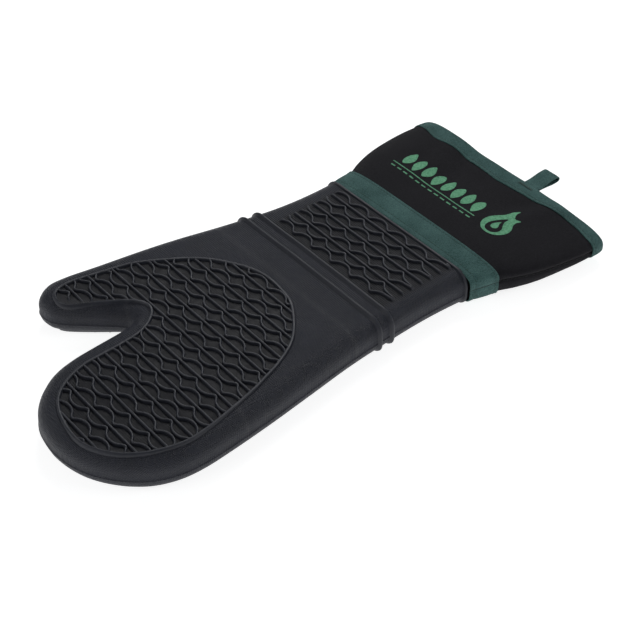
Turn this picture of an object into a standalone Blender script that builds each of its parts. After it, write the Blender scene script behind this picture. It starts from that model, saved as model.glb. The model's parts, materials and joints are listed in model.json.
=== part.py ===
"""Heat resistant cooking mitt: a moulded silicone hand shell with a quilted
lining and batting inside, a padded canvas cuff behind it, a tape over the
joint, a bound mouth and a hanging loop.

The mitt lies flat. +X runs from the fingertips to the mouth of the cuff, +Y
to the thumb side and +Z up. The origin is under the middle of the whole
object, on the plane it rests on. Metres.

The soft hand bends at three places. Each bend is a hinge line at half the
thickness, and every layer is parted there by a slot that widens upwards, so
that the sections can fold towards each other.
"""

import math

import bmesh
import bpy
import numpy as np
from mathutils import Matrix, Vector

for old in list(bpy.data.objects):
    bpy.data.objects.remove(old, do_unlink=True)

# ---------------------------------------------------------------- dimensions
MM = 0.001
PITCH = 0.015  # spacing of the straight grip ribs; plan points count in it
CENTRE_U, CENTRE_V = 4.1233, -2.9738  # plan point under which the origin lies

THICK = 25.5  # mm, hand shell over everything
SIDE_LOW, SIDE_HIGH = 9.0, 14.5  # mm, the upright part of the side wall
ROUND_TOP, ROUND_BOTTOM = 9.5, 7.5  # mm, how far the roundings reach inwards
SHELL_WALL = 2.0  # mm
BATTING = (2.3, 4.6)  # mm, depth of the pads below the outer face
LINING = (4.9, 5.9)  # mm, depth of the lining's two faces
TUCK = 0.6  # share of the depth by which the inner roundings tighten

HAND_END = 9.0  # pitches, rear edge of the silicone
FINGER_HINGE_U = -4.0
WRIST_HINGE_U = 4.45
THUMB_HINGE = (-2.80, 1.25)  # a point of the hinge line
THUMB_DIR = (0.455, 0.890)  # its direction in plan
HINGE_Z = 12.75  # mm
SLOT = 0.6  # mm, half the slot at the hinge line and below it
FINGER_FOLD, THUMB_FOLD, WRIST_FOLD = 45.0, 35.0, 40.0  # degrees

CUFF_START, CUFF_TAPE_END = 9.08, 10.2
CUFF_STATIONS = (CUFF_START, CUFF_TAPE_END, 10.9, 11.6, 13.2, 14.9, 15.52)
# The cuff's sections: near edge, far edge (pitches), their heights, the top's
# height, how much the top lifts at the far edge (mm), and the squareness.
CUFF_SECTIONS = (
    (-7.68, 1.18, 13.2, 12.6, 24.4, 0.0, 4.6),
    (-8.06, 1.34, 14.6, 12.6, 24.4, 0.2, 4.3),
    (-8.40, 1.66, 15.0, 12.8, 24.3, 1.2, 4.0),
    (-8.64, 1.90, 14.6, 13.0, 23.8, 2.2, 3.8),
    (-8.90, 2.20, 12.8, 13.0, 22.4, 4.0, 3.4),
    (-8.98, 2.27, 10.4, 12.5, 21.0, 5.0, 3.2),
    (-8.93, 2.22, 9.6, 12.0, 20.6, 5.5, 3.1),
)
CUFF_WALL = 1.2  # mm, canvas
CUFF_LINING = (1.5, 2.5)
CUFF_FLOOR = 1.95  # mm, height of the canvas underside
CUFF_POINTS = 32  # points round a cuff section
LOW_SQUARE = 1.25  # how much squarer the underside is than the top
SEAM_HALF = 0.7  # mm, half the gap between the canvas panels
TAPE = (-1.0, -0.3)
BINDING_OUT, BINDING_IN = (-1.1, -0.3), (2.8, 3.6)
THREAD = 0.5

LOOP_V = (-4.95, -4.15)  # pitches, the sides of the 12 mm tape
LOOP_LENGTH = 20.5  # mm, from the hinge line to the fold
LOOP_PLY = 1.2
LOOP_GAP = 4.6  # mm between the plies at the belly of the loop
LOOP_HINGE_U = 15.74

# Outer edge of the hand at half its thickness, in pitches: from the rear of
# the silicone forwards along the thumb side, round the thumb, the crotch and
# the four fingers, and back along the little finger side.
EDGE = (
    (11.5, 1.30), (9.0, 1.19), (7.6, 1.18), (6.2, 1.27), (5.0, 1.46),
    (3.4, 1.81), (1.6, 2.22), (-0.4, 2.60), (-2.2, 2.89), (-3.6, 3.12),
    (-4.50, 3.09), (-5.14, 2.60), (-5.17, 1.93), (-4.90, 1.43), (-4.36, 0.90),
    (-3.66, 0.27), (-3.13, -0.22), (-2.87, -0.62), (-3.04, -0.95),
    (-3.61, -1.08), (-4.9, -1.17), (-6.0, -1.27), (-6.90, -1.48),
    (-7.62, -1.88), (-8.25, -2.46), (-8.69, -3.23), (-8.86, -4.18),
    (-8.82, -4.96), (-8.67, -5.61), (-8.42, -6.21), (-8.02, -6.83),
    (-7.48, -7.42), (-6.79, -7.92), (-5.9, -8.25), (-4.9, -8.36),
    (-3.6, -8.30), (-1.6, -8.12), (0.6, -7.86), (2.8, -7.60), (5.0, -7.47),
    (7.0, -7.43), (9.0, -7.54), (11.5, -7.80),
)


def to_xy(u, v):
    return ((u - CENTRE_U) * PITCH, (v - CENTRE_V) * PITCH)


# ------------------------------------------------------------------ helpers
COLOURS = {
    "silicone": ((0.030, 0.030, 0.034, 1.0), 0.55),
    "batting": ((0.62, 0.60, 0.55, 1.0), 0.95),
    "lining": ((0.10, 0.10, 0.11, 1.0), 0.90),
    "canvas": ((0.012, 0.012, 0.015, 1.0), 0.90),
    "cuff_lining": ((0.02, 0.02, 0.022, 1.0), 0.90),
    "tape": ((0.042, 0.088, 0.080, 1.0), 0.85),
    "thread": ((0.03, 0.065, 0.058, 1.0), 0.70),
    "seam_thread": ((0.01, 0.01, 0.012, 1.0), 0.70),
}


def finish(obj, look, angle=30.0):
    colour, rough = COLOURS[look]
    material = bpy.data.materials.new(obj.name)
    material.use_nodes = True
    shader = material.node_tree.nodes["Principled BSDF"]
    shader.inputs["Base Color"].default_value = colour
    shader.inputs["Roughness"].default_value = rough
    shader.inputs["Metallic"].default_value = 0.0
    material.diffuse_color = colour
    obj.data.materials.clear()
    obj.data.materials.append(material)
    obj.data.shade_smooth()
    obj.data.set_sharp_from_angle(angle=math.radians(angle))
    return obj


def new_object(name, verts, faces):
    """A mesh object whose faces point outwards."""
    mesh = bpy.data.meshes.new(name)
    mesh.from_pydata([tuple(v) for v in verts], [], faces)
    bm = bmesh.new()
    bm.from_mesh(mesh)
    bmesh.ops.recalc_face_normals(bm, faces=bm.faces)
    bm.to_mesh(mesh)
    bm.free()
    mesh.update()
    obj = bpy.data.objects.new(name, mesh)
    bpy.context.scene.collection.objects.link(obj)
    return obj


def as_helper(obj):
    obj.hide_render = True
    obj.display_type = "WIRE"
    return obj


def combine(obj, other, operation):
    modifier = obj.modifiers.new(f"{operation.lower()}_{other.name}"[:60], "BOOLEAN")
    modifier.operation = operation
    modifier.solver = "EXACT"
    modifier.object = other


def spline(points, per_segment):
    """Catmull-Rom curve through the points, open, with its tangents."""
    pts = [np.array(p, float) for p in points]
    pts = [2 * pts[0] - pts[1]] + pts + [2 * pts[-1] - pts[-2]]
    at, along = [], []
    for i in range(1, len(pts) - 2):
        a, b, c, d = pts[i - 1 : i + 3]
        steps = per_segment if i < len(pts) - 3 else per_segment + 1
        for k in range(steps):
            t = k / per_segment
            at.append(
                0.5 * (2 * b + (c - a) * t + (2 * a - 5 * b + 4 * c - d) * t**2
                       + (3 * b - a - 3 * c + d) * t**3)
            )
            along.append(
                0.5 * ((c - a) + 2 * (2 * a - 5 * b + 4 * c - d) * t
                       + 3 * (3 * b - a - 3 * c + d) * t**2)
            )
    return np.array(at), np.array(along)


def edge_curve(per_segment):
    """Points of the hand's edge and their inward directions."""
    at, along = spline(EDGE, per_segment)
    inward = np.stack([-along[:, 1], along[:, 0]], axis=1)
    inward /= np.linalg.norm(inward, axis=1)[:, None]
    inward[0] = (0.0, -1.0)
    inward[-1] = (0.0, 1.0)
    return at, inward


FINE, COARSE = edge_curve(2), edge_curve(1)


def ring_stack(name, rings):
    """A closed solid of rings of equal length, capped below and above."""
    count = len(rings[0])
    verts = [p for ring in rings for p in ring]
    faces = []
    for level in range(len(rings) - 1):
        low, high = level * count, (level + 1) * count
        for i in range(count):
            j = (i + 1) % count
            faces.append((low + i, low + j, high + j, high + i))
    faces.append(tuple(reversed(range(count))))
    faces.append(tuple(range((len(rings) - 1) * count, len(rings) * count)))
    return new_object(name, verts, faces)


def edge_ring(offset, z, curve=COARSE):
    """The hand's edge moved inwards by offset mm, at height z mm."""
    plan = curve[0] + curve[1] * (offset * MM / PITCH)
    return [(*to_xy(u, v), z * MM) for u, v in plan]


def hand_solid(name, depth, curve=COARSE, low_steps=(0, 45, 90), high_steps=(0, 45, 90)):
    """The hand's rounded body, depth mm inside its outer face."""
    reach_low = ROUND_BOTTOM - TUCK * depth
    reach_high = ROUND_TOP - TUCK * depth
    low, high = SIDE_LOW - depth, THICK - SIDE_HIGH - depth
    rings = []
    for angle in low_steps:
        a = math.radians(angle)
        offset = depth + reach_low * (1 - math.sin(a))
        rings.append(edge_ring(offset, SIDE_LOW - low * math.cos(a), curve))
    for angle in high_steps:
        a = math.radians(angle)
        offset = depth + reach_high * (1 - math.cos(a))
        rings.append(edge_ring(offset, SIDE_HIGH + high * math.sin(a), curve))
    return ring_stack(name, rings)


def pad_solid(name, offset, low, high):
    return ring_stack(name, [edge_ring(offset, low), edge_ring(offset, high)])


def prism(name, section, origin, across, start, stop):
    """A section of (distance across, height) points in mm, swept in plan at
    right angles to across, from start to stop pitches."""
    across = np.array(across) / np.linalg.norm(across)
    along = np.array((-across[1], across[0]))
    base = np.array(origin, float)
    verts = []
    for reach in (start, stop):
        for s, z in section:
            u, v = base + across * (s * MM / PITCH) + along * reach
            verts.append((*to_xy(u, v), z * MM))
    n = len(section)
    faces = [tuple(range(n)), tuple(reversed(range(n, 2 * n)))]
    faces += [(i, (i + 1) % n, n + (i + 1) % n, n + i) for i in range(n)]
    return as_helper(new_object(name, verts, faces))


HEADROOM = 40.0  # mm, how far above and below the helpers reach


def slot_face(side, fold):
    """The slot's face on one side of a hinge line: upright below it, and
    leaning away by half the fold above it."""
    lean = math.tan(math.radians(fold / 2 + 0.5))
    top = HINGE_Z + HEADROOM
    return [
        (side * SLOT, -HEADROOM),
        (side * SLOT, HINGE_Z),
        (side * (SLOT + lean * HEADROOM), top),
    ]


def beyond(side, fold, reach):
    """Section of the space on one side of a hinge line, reach mm long."""
    face = slot_face(side, fold)
    return face + [(side * reach, face[-1][1]), (side * reach, face[0][1])]


# --------------------------------------------------- the sections of the hand
finger_zone = prism(
    "zone_fingers", beyond(-1, FINGER_FOLD, 150), (FINGER_HINGE_U, 0), (1, 0), -10.5, -0.55
)
across_thumb = (THUMB_DIR[1], -THUMB_DIR[0])
thumb_zone = prism(
    "zone_thumb", beyond(-1, THUMB_FOLD, 90), THUMB_HINGE, across_thumb, -2.2, 4.5
)
thumb_clearance = prism(
    "zone_thumb_clearance",
    [(-90, -HEADROOM), (-90, HINGE_Z + HEADROOM)] + slot_face(1, THUMB_FOLD)[::-1],
    THUMB_HINGE, across_thumb, -2.2, 4.5,
)
reach = (WRIST_HINGE_U - FINGER_HINGE_U) * PITCH / MM
wrist_face = [(reach + s, z) for s, z in slot_face(-1, WRIST_FOLD)]
palm_zone = prism(
    "zone_palm", slot_face(1, FINGER_FOLD) + wrist_face[::-1],
    (FINGER_HINGE_U, 0), (1, 0), -11, 5,
)
combine(palm_zone, thumb_clearance, "DIFFERENCE")
gauntlet_zone = prism(
    "zone_gauntlet",
    beyond(1, WRIST_FOLD, (HAND_END - WRIST_HINGE_U) * PITCH / MM),
    (WRIST_HINGE_U, 0), (1, 0), -11, 5,
)
ZONES = {
    "fingers": finger_zone, "thumb": thumb_zone,
    "palm": palm_zone, "gauntlet": gauntlet_zone,
}

shell_hollow = as_helper(hand_solid("hollow_shell", SHELL_WALL))
lining_hollow = as_helper(hand_solid("hollow_lining", LINING[1]))

BODIES = {"palm": "palm", "fingers": "fingers", "thumb": "thumb", "gauntlet": "cuff"}
members = {"palm": [], "fingers": [], "thumb": [], "cuff": [], "loop": []}

for section, zone in ZONES.items():
    shell = hand_solid(
        f"shell_{section}", 0.0, FINE, (0, 35, 62, 90), (0, 28, 58, 90)
    )
    combine(shell, shell_hollow, "DIFFERENCE")
    combine(shell, zone, "INTERSECT")
    finish(shell, "silicone")

    lining = hand_solid(f"lining_{section}", LINING[0])
    combine(lining, lining_hollow, "DIFFERENCE")
    combine(lining, zone, "INTERSECT")
    finish(lining, "lining")

    top_pad = pad_solid(
        f"batting_{section}_top", ROUND_TOP + 1.5, THICK - BATTING[1], THICK - BATTING[0]
    )
    combine(top_pad, zone, "INTERSECT")
    finish(top_pad, "batting")
    bottom_pad = pad_solid(
        f"batting_{section}_bottom", ROUND_BOTTOM + 1.5, BATTING[0], BATTING[1]
    )
    combine(bottom_pad, zone, "INTERSECT")
    finish(bottom_pad, "batting")
    members[BODIES[section]] += [shell, lining, top_pad, bottom_pad]


# ------------------------------------------------------------------ the cuff
def mix(a, b, t):
    return a + (b - a) * t


def cuff_shape(u):
    """Edges in plan, edge heights, top height, lift and squareness of the
    cuff at u."""
    keys = ("near", "far", "z_near", "z_far", "z_top", "lift", "power")
    return {
        key: float(np.interp(u, CUFF_STATIONS, [row[i] for row in CUFF_SECTIONS]))
        for i, key in enumerate(keys)
    }


def cuff_ceiling(c, across):
    """Height of the cuff's top at a share across, -1 near and 1 far."""
    t = min(max((across - 0.2) / 0.7, 0.0), 1.0)
    return c["z_top"] + c["lift"] * t * t * (3 - 2 * t)


def cuff_point(u, depth, phi):
    """A point of the cuff's wall, depth mm inside the canvas's outer face.
    phi is 0 at the thumb side, a quarter turn on top, half a turn at the
    other side."""
    c = cuff_shape(u)
    co, si = math.cos(phi), math.sin(phi)
    e = 2.0 / (c["power"] * (1.0 if si >= 0 else LOW_SQUARE))
    half = (c["far"] - c["near"]) / 2 * PITCH / MM - depth
    mid = (c["far"] + c["near"]) / 2
    across = math.copysign(abs(co) ** e, co)
    y = across * half
    edge = mix(c["z_near"], c["z_far"], 0.5 + 0.5 * across)
    if si >= 0:
        z = edge + (cuff_ceiling(c, across) - depth - edge) * abs(si) ** e
    else:
        z = edge - (edge - CUFF_FLOOR - depth) * abs(si) ** e
    x_, y_ = to_xy(u, mid)
    return (x_, y_ + y * MM, z * MM)


PHIS = [2 * math.pi * i / CUFF_POINTS for i in range(CUFF_POINTS)]


def cuff_ring(name, profile):
    """A closed ring round the cuff; profile is a closed list of
    (station, depth) points."""
    n = len(profile)
    verts = [cuff_point(u, d, phi) for phi in PHIS for u, d in profile]
    faces = []
    for i in range(CUFF_POINTS):
        a, b = i * n, ((i + 1) % CUFF_POINTS) * n
        for k in range(n):
            m = (k + 1) % n
            faces.append((a + k, a + m, b + m, b + k))
    return new_object(name, verts, faces)


def layer(stations, outer, inner):
    return [(u, outer) for u in stations] + [(u, inner) for u in reversed(stations)]


def cuff_panel(name, top):
    """One half of the canvas, from side seam to side seam."""
    half = CUFF_POINTS // 2
    verts, per_station = [], None
    for u in CUFF_STATIONS:
        c = cuff_shape(u)
        edge = (c["z_near"] + c["z_far"]) / 2
        rise = (c["z_top"] - edge) if top else (edge - CUFF_FLOOR)
        power = c["power"] * (1.0 if top else LOW_SQUARE)
        gap = math.asin((SEAM_HALF / rise) ** (power / 2))
        angles = [gap] + [PHIS[i] for i in range(1, half)] + [math.pi - gap]
        if not top:
            angles = [-a for a in angles]
        ring = [cuff_point(u, 0.0, a) for a in angles]
        ring += [cuff_point(u, CUFF_WALL, a) for a in reversed(angles)]
        per_station = len(ring)
        verts += ring
    faces = []
    for s in range(len(CUFF_STATIONS) - 1):
        a, b = s * per_station, (s + 1) * per_station
        for i in range(per_station):
            j = (i + 1) % per_station
            faces.append((a + i, a + j, b + j, b + i))
    arc = per_station // 2
    for base in (0, (len(CUFF_STATIONS) - 1) * per_station):
        for i in range(arc - 1):
            faces.append(
                (base + i, base + i + 1, base + per_station - 2 - i, base + per_station - 1 - i)
            )
    return new_object(name, verts, faces)


cuff_top = finish(cuff_panel("cuff_panel_top", True), "canvas")
cuff_bottom = finish(cuff_panel("cuff_panel_bottom", False), "canvas")
cuff_lining = finish(
    cuff_ring("cuff_lining", layer(CUFF_STATIONS, *CUFF_LINING)), "cuff_lining"
)
joint_tape = finish(
    cuff_ring("joint_tape", layer((CUFF_START, CUFF_TAPE_END), *TAPE)), "tape"
)
binding_end = CUFF_STATIONS[-1] + 0.3 / 15
mouth_binding = finish(
    cuff_ring(
        "mouth_binding",
        [
            (CUFF_STATIONS[-2], BINDING_OUT[0]), (binding_end + 0.03, BINDING_OUT[0]),
            (binding_end + 0.08, 0.3), (binding_end + 0.08, 2.2),
            (binding_end + 0.03, BINDING_IN[1]), (CUFF_STATIONS[-2], BINDING_IN[1]),
            (CUFF_STATIONS[-2], BINDING_IN[0]), (binding_end, BINDING_IN[0]),
            (binding_end, BINDING_OUT[1]), (CUFF_STATIONS[-2], BINDING_OUT[1]),
        ],
    ),
    "tape",
)


def thread_ring(name, u, under):
    """A row of stitches round the cuff, on a face at the depth under."""
    half = THREAD / 2 * MM / PITCH
    return finish(
        cuff_ring(name, layer((u - half, u + half), under - 0.3 - THREAD, under - 0.3)),
        "thread",
    )


stitches = [
    thread_ring("stitch_tape_front", CUFF_START + 0.13, TAPE[0]),
    thread_ring("stitch_tape_rear", CUFF_TAPE_END - 0.13, TAPE[0]),
    thread_ring("stitch_binding", CUFF_STATIONS[-2] + 0.13, BINDING_OUT[0]),
]


def side_seam(name, phi):
    """The thread that closes a side of the cuff, laid between the panels."""
    side = 1 if phi == 0 else -1
    verts = []
    stations = [CUFF_TAPE_END + 0.05] + list(CUFF_STATIONS[2:-2]) + [CUFF_STATIONS[-2] - 0.05]
    for u in stations:
        x, y, z = cuff_point(u, 0.15, phi)
        for dy, dz in ((0, -0.3), (0.7, -0.3), (0.7, 0.3), (0, 0.3)):
            verts.append((x, y - side * dy * MM, z + dz * MM))
    faces = [(0, 1, 2, 3)]
    for s in range(len(stations) - 1):
        a, b = 4 * s, 4 * (s + 1)
        faces += [(a + i, a + (i + 1) % 4, b + (i + 1) % 4, b + i) for i in range(4)]
    last = 4 * (len(stations) - 1)
    faces.append((last + 3, last + 2, last + 1, last))
    return finish(new_object(name, verts, faces), "seam_thread")


seams = [side_seam("seam_thumb_side", 0), side_seam("seam_far_side", math.pi)]
members["cuff"] += [
    cuff_top, cuff_bottom, cuff_lining, joint_tape, mouth_binding, *stitches, *seams
]


# -------------------------------------------------------------- hanging loop
def cuff_top_at(u, v, depth):
    """Height of the cuff's upper face over a plan point, in metres."""
    c = cuff_shape(u)
    half = (c["far"] - c["near"]) / 2 * PITCH / MM - depth
    w = (v - (c["far"] + c["near"]) / 2) * PITCH / MM / half
    edge = mix(c["z_near"], c["z_far"], 0.5 + 0.5 * w)
    rise = (1 - abs(w) ** c["power"]) ** (1 / c["power"])
    return (edge + (cuff_ceiling(c, w) - depth - edge) * rise) * MM


loop_mid = (LOOP_V[0] + LOOP_V[1]) / 2
LOOP_X = to_xy(LOOP_HINGE_U, 0)[0]
LOOP_Z = cuff_top_at(CUFF_STATIONS[-1], loop_mid, 1.8)


def loop_section():
    """Side view of the folded tape, from the hinge line outwards, in mm: the
    outer face round the fold and back, then the inner face."""
    half = LOOP_GAP / 2
    belly = LOOP_LENGTH - half - LOOP_PLY

    def gap(s):
        t = min(max((s - 3.0) / 7.0, 0.0), 1.0)
        return half * t * t * (3 - 2 * t)

    runs = [0.0, 3.0, 5.0, 7.0, 9.0, 11.0, belly]
    outer = [(-0.9, 0.55)] + [(s, LOOP_PLY + gap(s)) for s in runs]
    inner = [(s, gap(s)) for s in runs[2:]]
    turn = [math.radians(a) for a in (60, 30, 0, -30, -60)]
    outer_turn = [
        (belly + (half + LOOP_PLY) * math.cos(a), (half + LOOP_PLY) * math.sin(a)) for a in turn
    ]
    inner_turn = [(belly + half * math.cos(a), half * math.sin(a)) for a in turn]
    outline = outer + outer_turn + [(s, -h) for s, h in reversed(outer)]
    hole = [(3.6, 0.0)] + inner + inner_turn + [(s, -h) for s, h in reversed(inner)]
    return outline, hole


def loop_solid(name):
    """The two plies and the fold as one solid with a slot through it."""
    outline, hole = loop_section()
    bm = bmesh.new()

    def put(points, v):
        ring = []
        for s, h in points:
            ring.append(
                bm.verts.new((LOOP_X + s * MM, to_xy(0, v)[1], LOOP_Z + h * MM))
            )
        return ring

    rings = {v: (put(outline, v), put(hole, v)) for v in LOOP_V}
    for k in (0, 1):
        a, b = rings[LOOP_V[0]][k], rings[LOOP_V[1]][k]
        for i in range(len(a)):
            j = (i + 1) % len(a)
            bm.faces.new((a[i], a[j], b[j], b[i]))
    for v in LOOP_V:
        edges = []
        for ring in rings[v]:
            for i in range(len(ring)):
                edges.append(bm.edges.get((ring[i], ring[(i + 1) % len(ring)])))
        bmesh.ops.triangle_fill(bm, use_beauty=True, edges=edges)
    bmesh.ops.recalc_face_normals(bm, faces=bm.faces)
    mesh = bpy.data.meshes.new(name)
    bm.to_mesh(mesh)
    bm.free()
    obj = bpy.data.objects.new(name, mesh)
    bpy.context.scene.collection.objects.link(obj)
    return obj


members["loop"].append(finish(loop_solid("hanging_loop"), "tape"))


def bar_tack(name):
    """The dense bar of stitches that holds the loop's ends to the binding."""
    u = CUFF_STATIONS[-2] + 0.42
    wide = 12.0 * MM
    x0 = to_xy(u, 0)[0]
    y0 = to_xy(0, loop_mid)[1]
    steps = 6
    verts = []
    for i in range(steps + 1):
        y = y0 - wide / 2 + wide * i / steps
        v = y / PITCH + CENTRE_V
        low = cuff_top_at(u, v, BINDING_OUT[0]) + 0.45 * MM
        for dx, dz in ((-0.8, 0.0), (0.8, 0.0), (0.8, 0.6), (-0.8, 0.6)):
            verts.append((x0 + dx * MM, y, low + dz * MM))
    faces = [(0, 1, 2, 3), tuple(4 * steps + k for k in (3, 2, 1, 0))]
    for s in range(steps):
        a, b = 4 * s, 4 * (s + 1)
        faces += [(a + i, a + (i + 1) % 4, b + (i + 1) % 4, b + i) for i in range(4)]
    return finish(new_object(name, verts, faces), "thread")


members["cuff"].append(bar_tack("loop_bar_tack"))


# -------------------------------------------------- joint axes and the tree
def axis_empty(name, x, y, z, parent=None):
    empty = bpy.data.objects.new(name, None)
    empty.empty_display_size = 0.02
    bpy.context.scene.collection.objects.link(empty)
    empty.location = (x, y, z)
    if parent is not None:
        empty.parent = parent
        empty.location = Vector((x, y, z)) - parent.matrix_world.translation
    bpy.context.view_layer.update()
    return empty


hand = axis_empty("palm", 0, 0, 0)
mid_y = to_xy(0, -4.8)[1]
empties = {
    "palm": hand,
    "fingers": axis_empty(
        "finger_curl", to_xy(FINGER_HINGE_U, 0)[0], mid_y, HINGE_Z * MM, hand),
    "thumb": axis_empty("thumb_flex", *to_xy(*THUMB_HINGE), HINGE_Z * MM, hand),
    "cuff": axis_empty(
        "wrist_flex", to_xy(WRIST_HINGE_U, 0)[0], to_xy(0, -3.1)[1], HINGE_Z * MM, hand),
}
empties["loop"] = axis_empty(
    "loop_swing", LOOP_X, to_xy(0, loop_mid)[1], LOOP_Z, empties["cuff"])
for body, objects in members.items():
    for obj in objects:
        obj.parent = empties[body]
        obj.matrix_parent_inverse = Matrix.Translation(
            -empties[body].matrix_world.translation
        )
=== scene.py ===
import json
import math

import bpy
import numpy as np
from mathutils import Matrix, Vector
from mathutils.geometry import delaunay_2d_cdt


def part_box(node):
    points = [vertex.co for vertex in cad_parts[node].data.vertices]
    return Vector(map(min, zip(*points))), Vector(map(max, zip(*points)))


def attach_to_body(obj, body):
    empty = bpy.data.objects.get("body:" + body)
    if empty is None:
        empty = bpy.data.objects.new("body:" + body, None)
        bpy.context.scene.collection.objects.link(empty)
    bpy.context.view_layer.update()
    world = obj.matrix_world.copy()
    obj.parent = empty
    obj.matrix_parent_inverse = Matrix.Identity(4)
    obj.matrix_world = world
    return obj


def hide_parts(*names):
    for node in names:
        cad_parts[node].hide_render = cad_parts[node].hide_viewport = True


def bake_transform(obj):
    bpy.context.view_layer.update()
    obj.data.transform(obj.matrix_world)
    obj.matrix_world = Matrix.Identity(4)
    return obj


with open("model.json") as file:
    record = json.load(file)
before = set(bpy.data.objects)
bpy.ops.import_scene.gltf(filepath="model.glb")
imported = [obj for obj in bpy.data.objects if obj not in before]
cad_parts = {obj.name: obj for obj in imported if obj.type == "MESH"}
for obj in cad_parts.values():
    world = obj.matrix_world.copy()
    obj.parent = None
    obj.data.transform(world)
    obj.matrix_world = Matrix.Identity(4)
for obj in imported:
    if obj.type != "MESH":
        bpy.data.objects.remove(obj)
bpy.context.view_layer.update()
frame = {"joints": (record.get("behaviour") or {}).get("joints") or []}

# ------------------------------------------------------------------ the frame
# Plan points (u, v) count the pitch of the grip ribs. The hinge lines of the
# fingers and the wrist give the pitch and the place of the count.
MM = 0.001
JOINT = {j["name"]: Vector(j["pos_m"]) for j in frame["joints"]}
S = (JOINT["wrist_flex"].x - JOINT["finger_curl"].x) / 8.45
X0 = JOINT["finger_curl"].x + 4.0 * S
Y0 = JOINT["finger_curl"].y + 4.8 * S
PITCH = S / MM
HINGE_Z = JOINT["finger_curl"].z / MM
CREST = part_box("shell_palm")[1].z / MM  # height of the grip ribs' crests
RIB_TALL = 1.15
RECESS = 0.35  # how far the ground between the ribs lies below the plain top
TOP = CREST - RIB_TALL  # height of the hand's plain top
BASE = 1.2  # the flat underside, held up by the ribs below it


def xy(u, v):
    return X0 + np.asarray(u) * S, Y0 + np.asarray(v) * S


def uv(x, y):
    return (np.asarray(x) - X0) / S, (np.asarray(y) - Y0) / S


def point(u, v, z_mm):
    x, y = xy(u, v)
    return Vector((float(x), float(y), z_mm * MM))


def smooth(t):
    t = np.clip(t, 0.0, 1.0)
    return t * t * (3 - 2 * t)


# ---------------------------------------------------------------- the camera
camera = bpy.data.objects.new("camera", bpy.data.cameras.new("camera"))
bpy.context.scene.collection.objects.link(camera)
camera.data.lens = 85.76
camera.data.sensor_width = 36.0
camera.data.clip_start, camera.data.clip_end = 0.05, 50.0
BACK = Vector((-0.4789, -0.5833, 0.6561)).normalized()
camera.location = point(2.596, -5.167, CREST) + BACK * 0.8714
camera.rotation_mode = "QUATERNION"
camera.rotation_quaternion = (-BACK).to_track_quat("-Z", "Y")
bpy.context.scene.camera = camera


# ------------------------------------------------------------------ materials
def srgb(r, g, b):
    def one(c):
        c = c / 255.0
        return c / 12.92 if c <= 0.04045 else ((c + 0.055) / 1.055) ** 2.4

    return (one(r), one(g), one(b), 1.0)


class Look:
    """A Principled material being built from nodes."""

    def __init__(self, name, roughness, specular=0.5, **fixed):
        self.mat = bpy.data.materials.new(name)
        self.mat.use_nodes = True
        self.tree = self.mat.node_tree
        self.shader = self.tree.nodes["Principled BSDF"]
        self.set("Roughness", roughness)
        self.set("Specular IOR Level", specular)
        for key, value in fixed.items():
            self.set(key.replace("_", " "), value)

    def set(self, socket, value):
        self.shader.inputs[socket].default_value = value

    def node(self, kind, **settings):
        node = self.tree.nodes.new(kind)
        for key, value in settings.items():
            if key in node.inputs:
                node.inputs[key].default_value = value
            else:
                setattr(node, key, value)
        return node

    def link(self, a, b):
        self.tree.links.new(a, b)

    def place(self):
        """Coordinates in metres, fixed to the object."""
        return self.node("ShaderNodeTexCoord").outputs["Object"]

    def cloth(self):
        """Coordinates in millimetres along and across the cloth."""
        return self.node("ShaderNodeUVMap", uv_map="cloth").outputs["UV"]

    def maths(self, operation, a, b=None, c=None):
        node = self.node("ShaderNodeMath", operation=operation)
        for i, value in enumerate((a, b, c)):
            if value is None:
                continue
            if isinstance(value, (int, float)):
                node.inputs[i].default_value = value
            else:
                self.link(value, node.inputs[i])
        return node.outputs[0]

    def noise(self, where, scale, detail=3.0, rough=0.55):
        node = self.node("ShaderNodeTexNoise")
        node.inputs["Scale"].default_value = scale
        node.inputs["Detail"].default_value = detail
        node.inputs["Roughness"].default_value = rough
        self.link(where, node.inputs["Vector"])
        return node.outputs["Fac"]

    def cells(self, where, scale, feature="F1", output="Distance"):
        node = self.node("ShaderNodeTexVoronoi", feature=feature)
        node.inputs["Scale"].default_value = scale
        self.link(where, node.inputs["Vector"])
        return node.outputs[output]

    def spread(self, value, low, high, to_low=0.0, to_high=1.0):
        node = self.node("ShaderNodeMapRange")
        node.inputs["From Min"].default_value = low
        node.inputs["From Max"].default_value = high
        node.inputs["To Min"].default_value = to_low
        node.inputs["To Max"].default_value = to_high
        self.link(value, node.inputs["Value"])
        return node.outputs["Result"]

    def blend(self, share, a, b):
        node = self.node("ShaderNodeMix", data_type="RGBA")
        self.link(share, node.inputs["Factor"])
        for socket, value in ((node.inputs[6], a), (node.inputs[7], b)):
            if isinstance(value, tuple):
                socket.default_value = value
            else:
                self.link(value, socket)
        return node.outputs[2]

    def colour(self, value):
        self.link(value, self.shader.inputs["Base Color"])

    def rough(self, value):
        self.link(value, self.shader.inputs["Roughness"])

    def bump(self, height, distance, strength=1.0, after=None):
        node = self.node("ShaderNodeBump")
        node.inputs["Strength"].default_value = strength
        node.inputs["Distance"].default_value = distance
        self.link(height, node.inputs["Height"])
        if after is not None:
            self.link(after, node.inputs["Normal"])
        self.link(node.outputs["Normal"], self.shader.inputs["Normal"])
        return node.outputs["Normal"]

    def threads(self, period_a, period_b):
        """Heights of a plain weave, and its two thread directions."""
        split = self.node("ShaderNodeSeparateXYZ")
        self.link(self.cloth(), split.inputs[0])
        a = self.maths("MULTIPLY", split.outputs[0], 2 * math.pi / period_a)
        b = self.maths("MULTIPLY", split.outputs[1], 2 * math.pi / period_b)
        weave = self.maths("MULTIPLY", self.maths("SINE", a), self.maths("SINE", b))
        return weave, a, b, split


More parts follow.
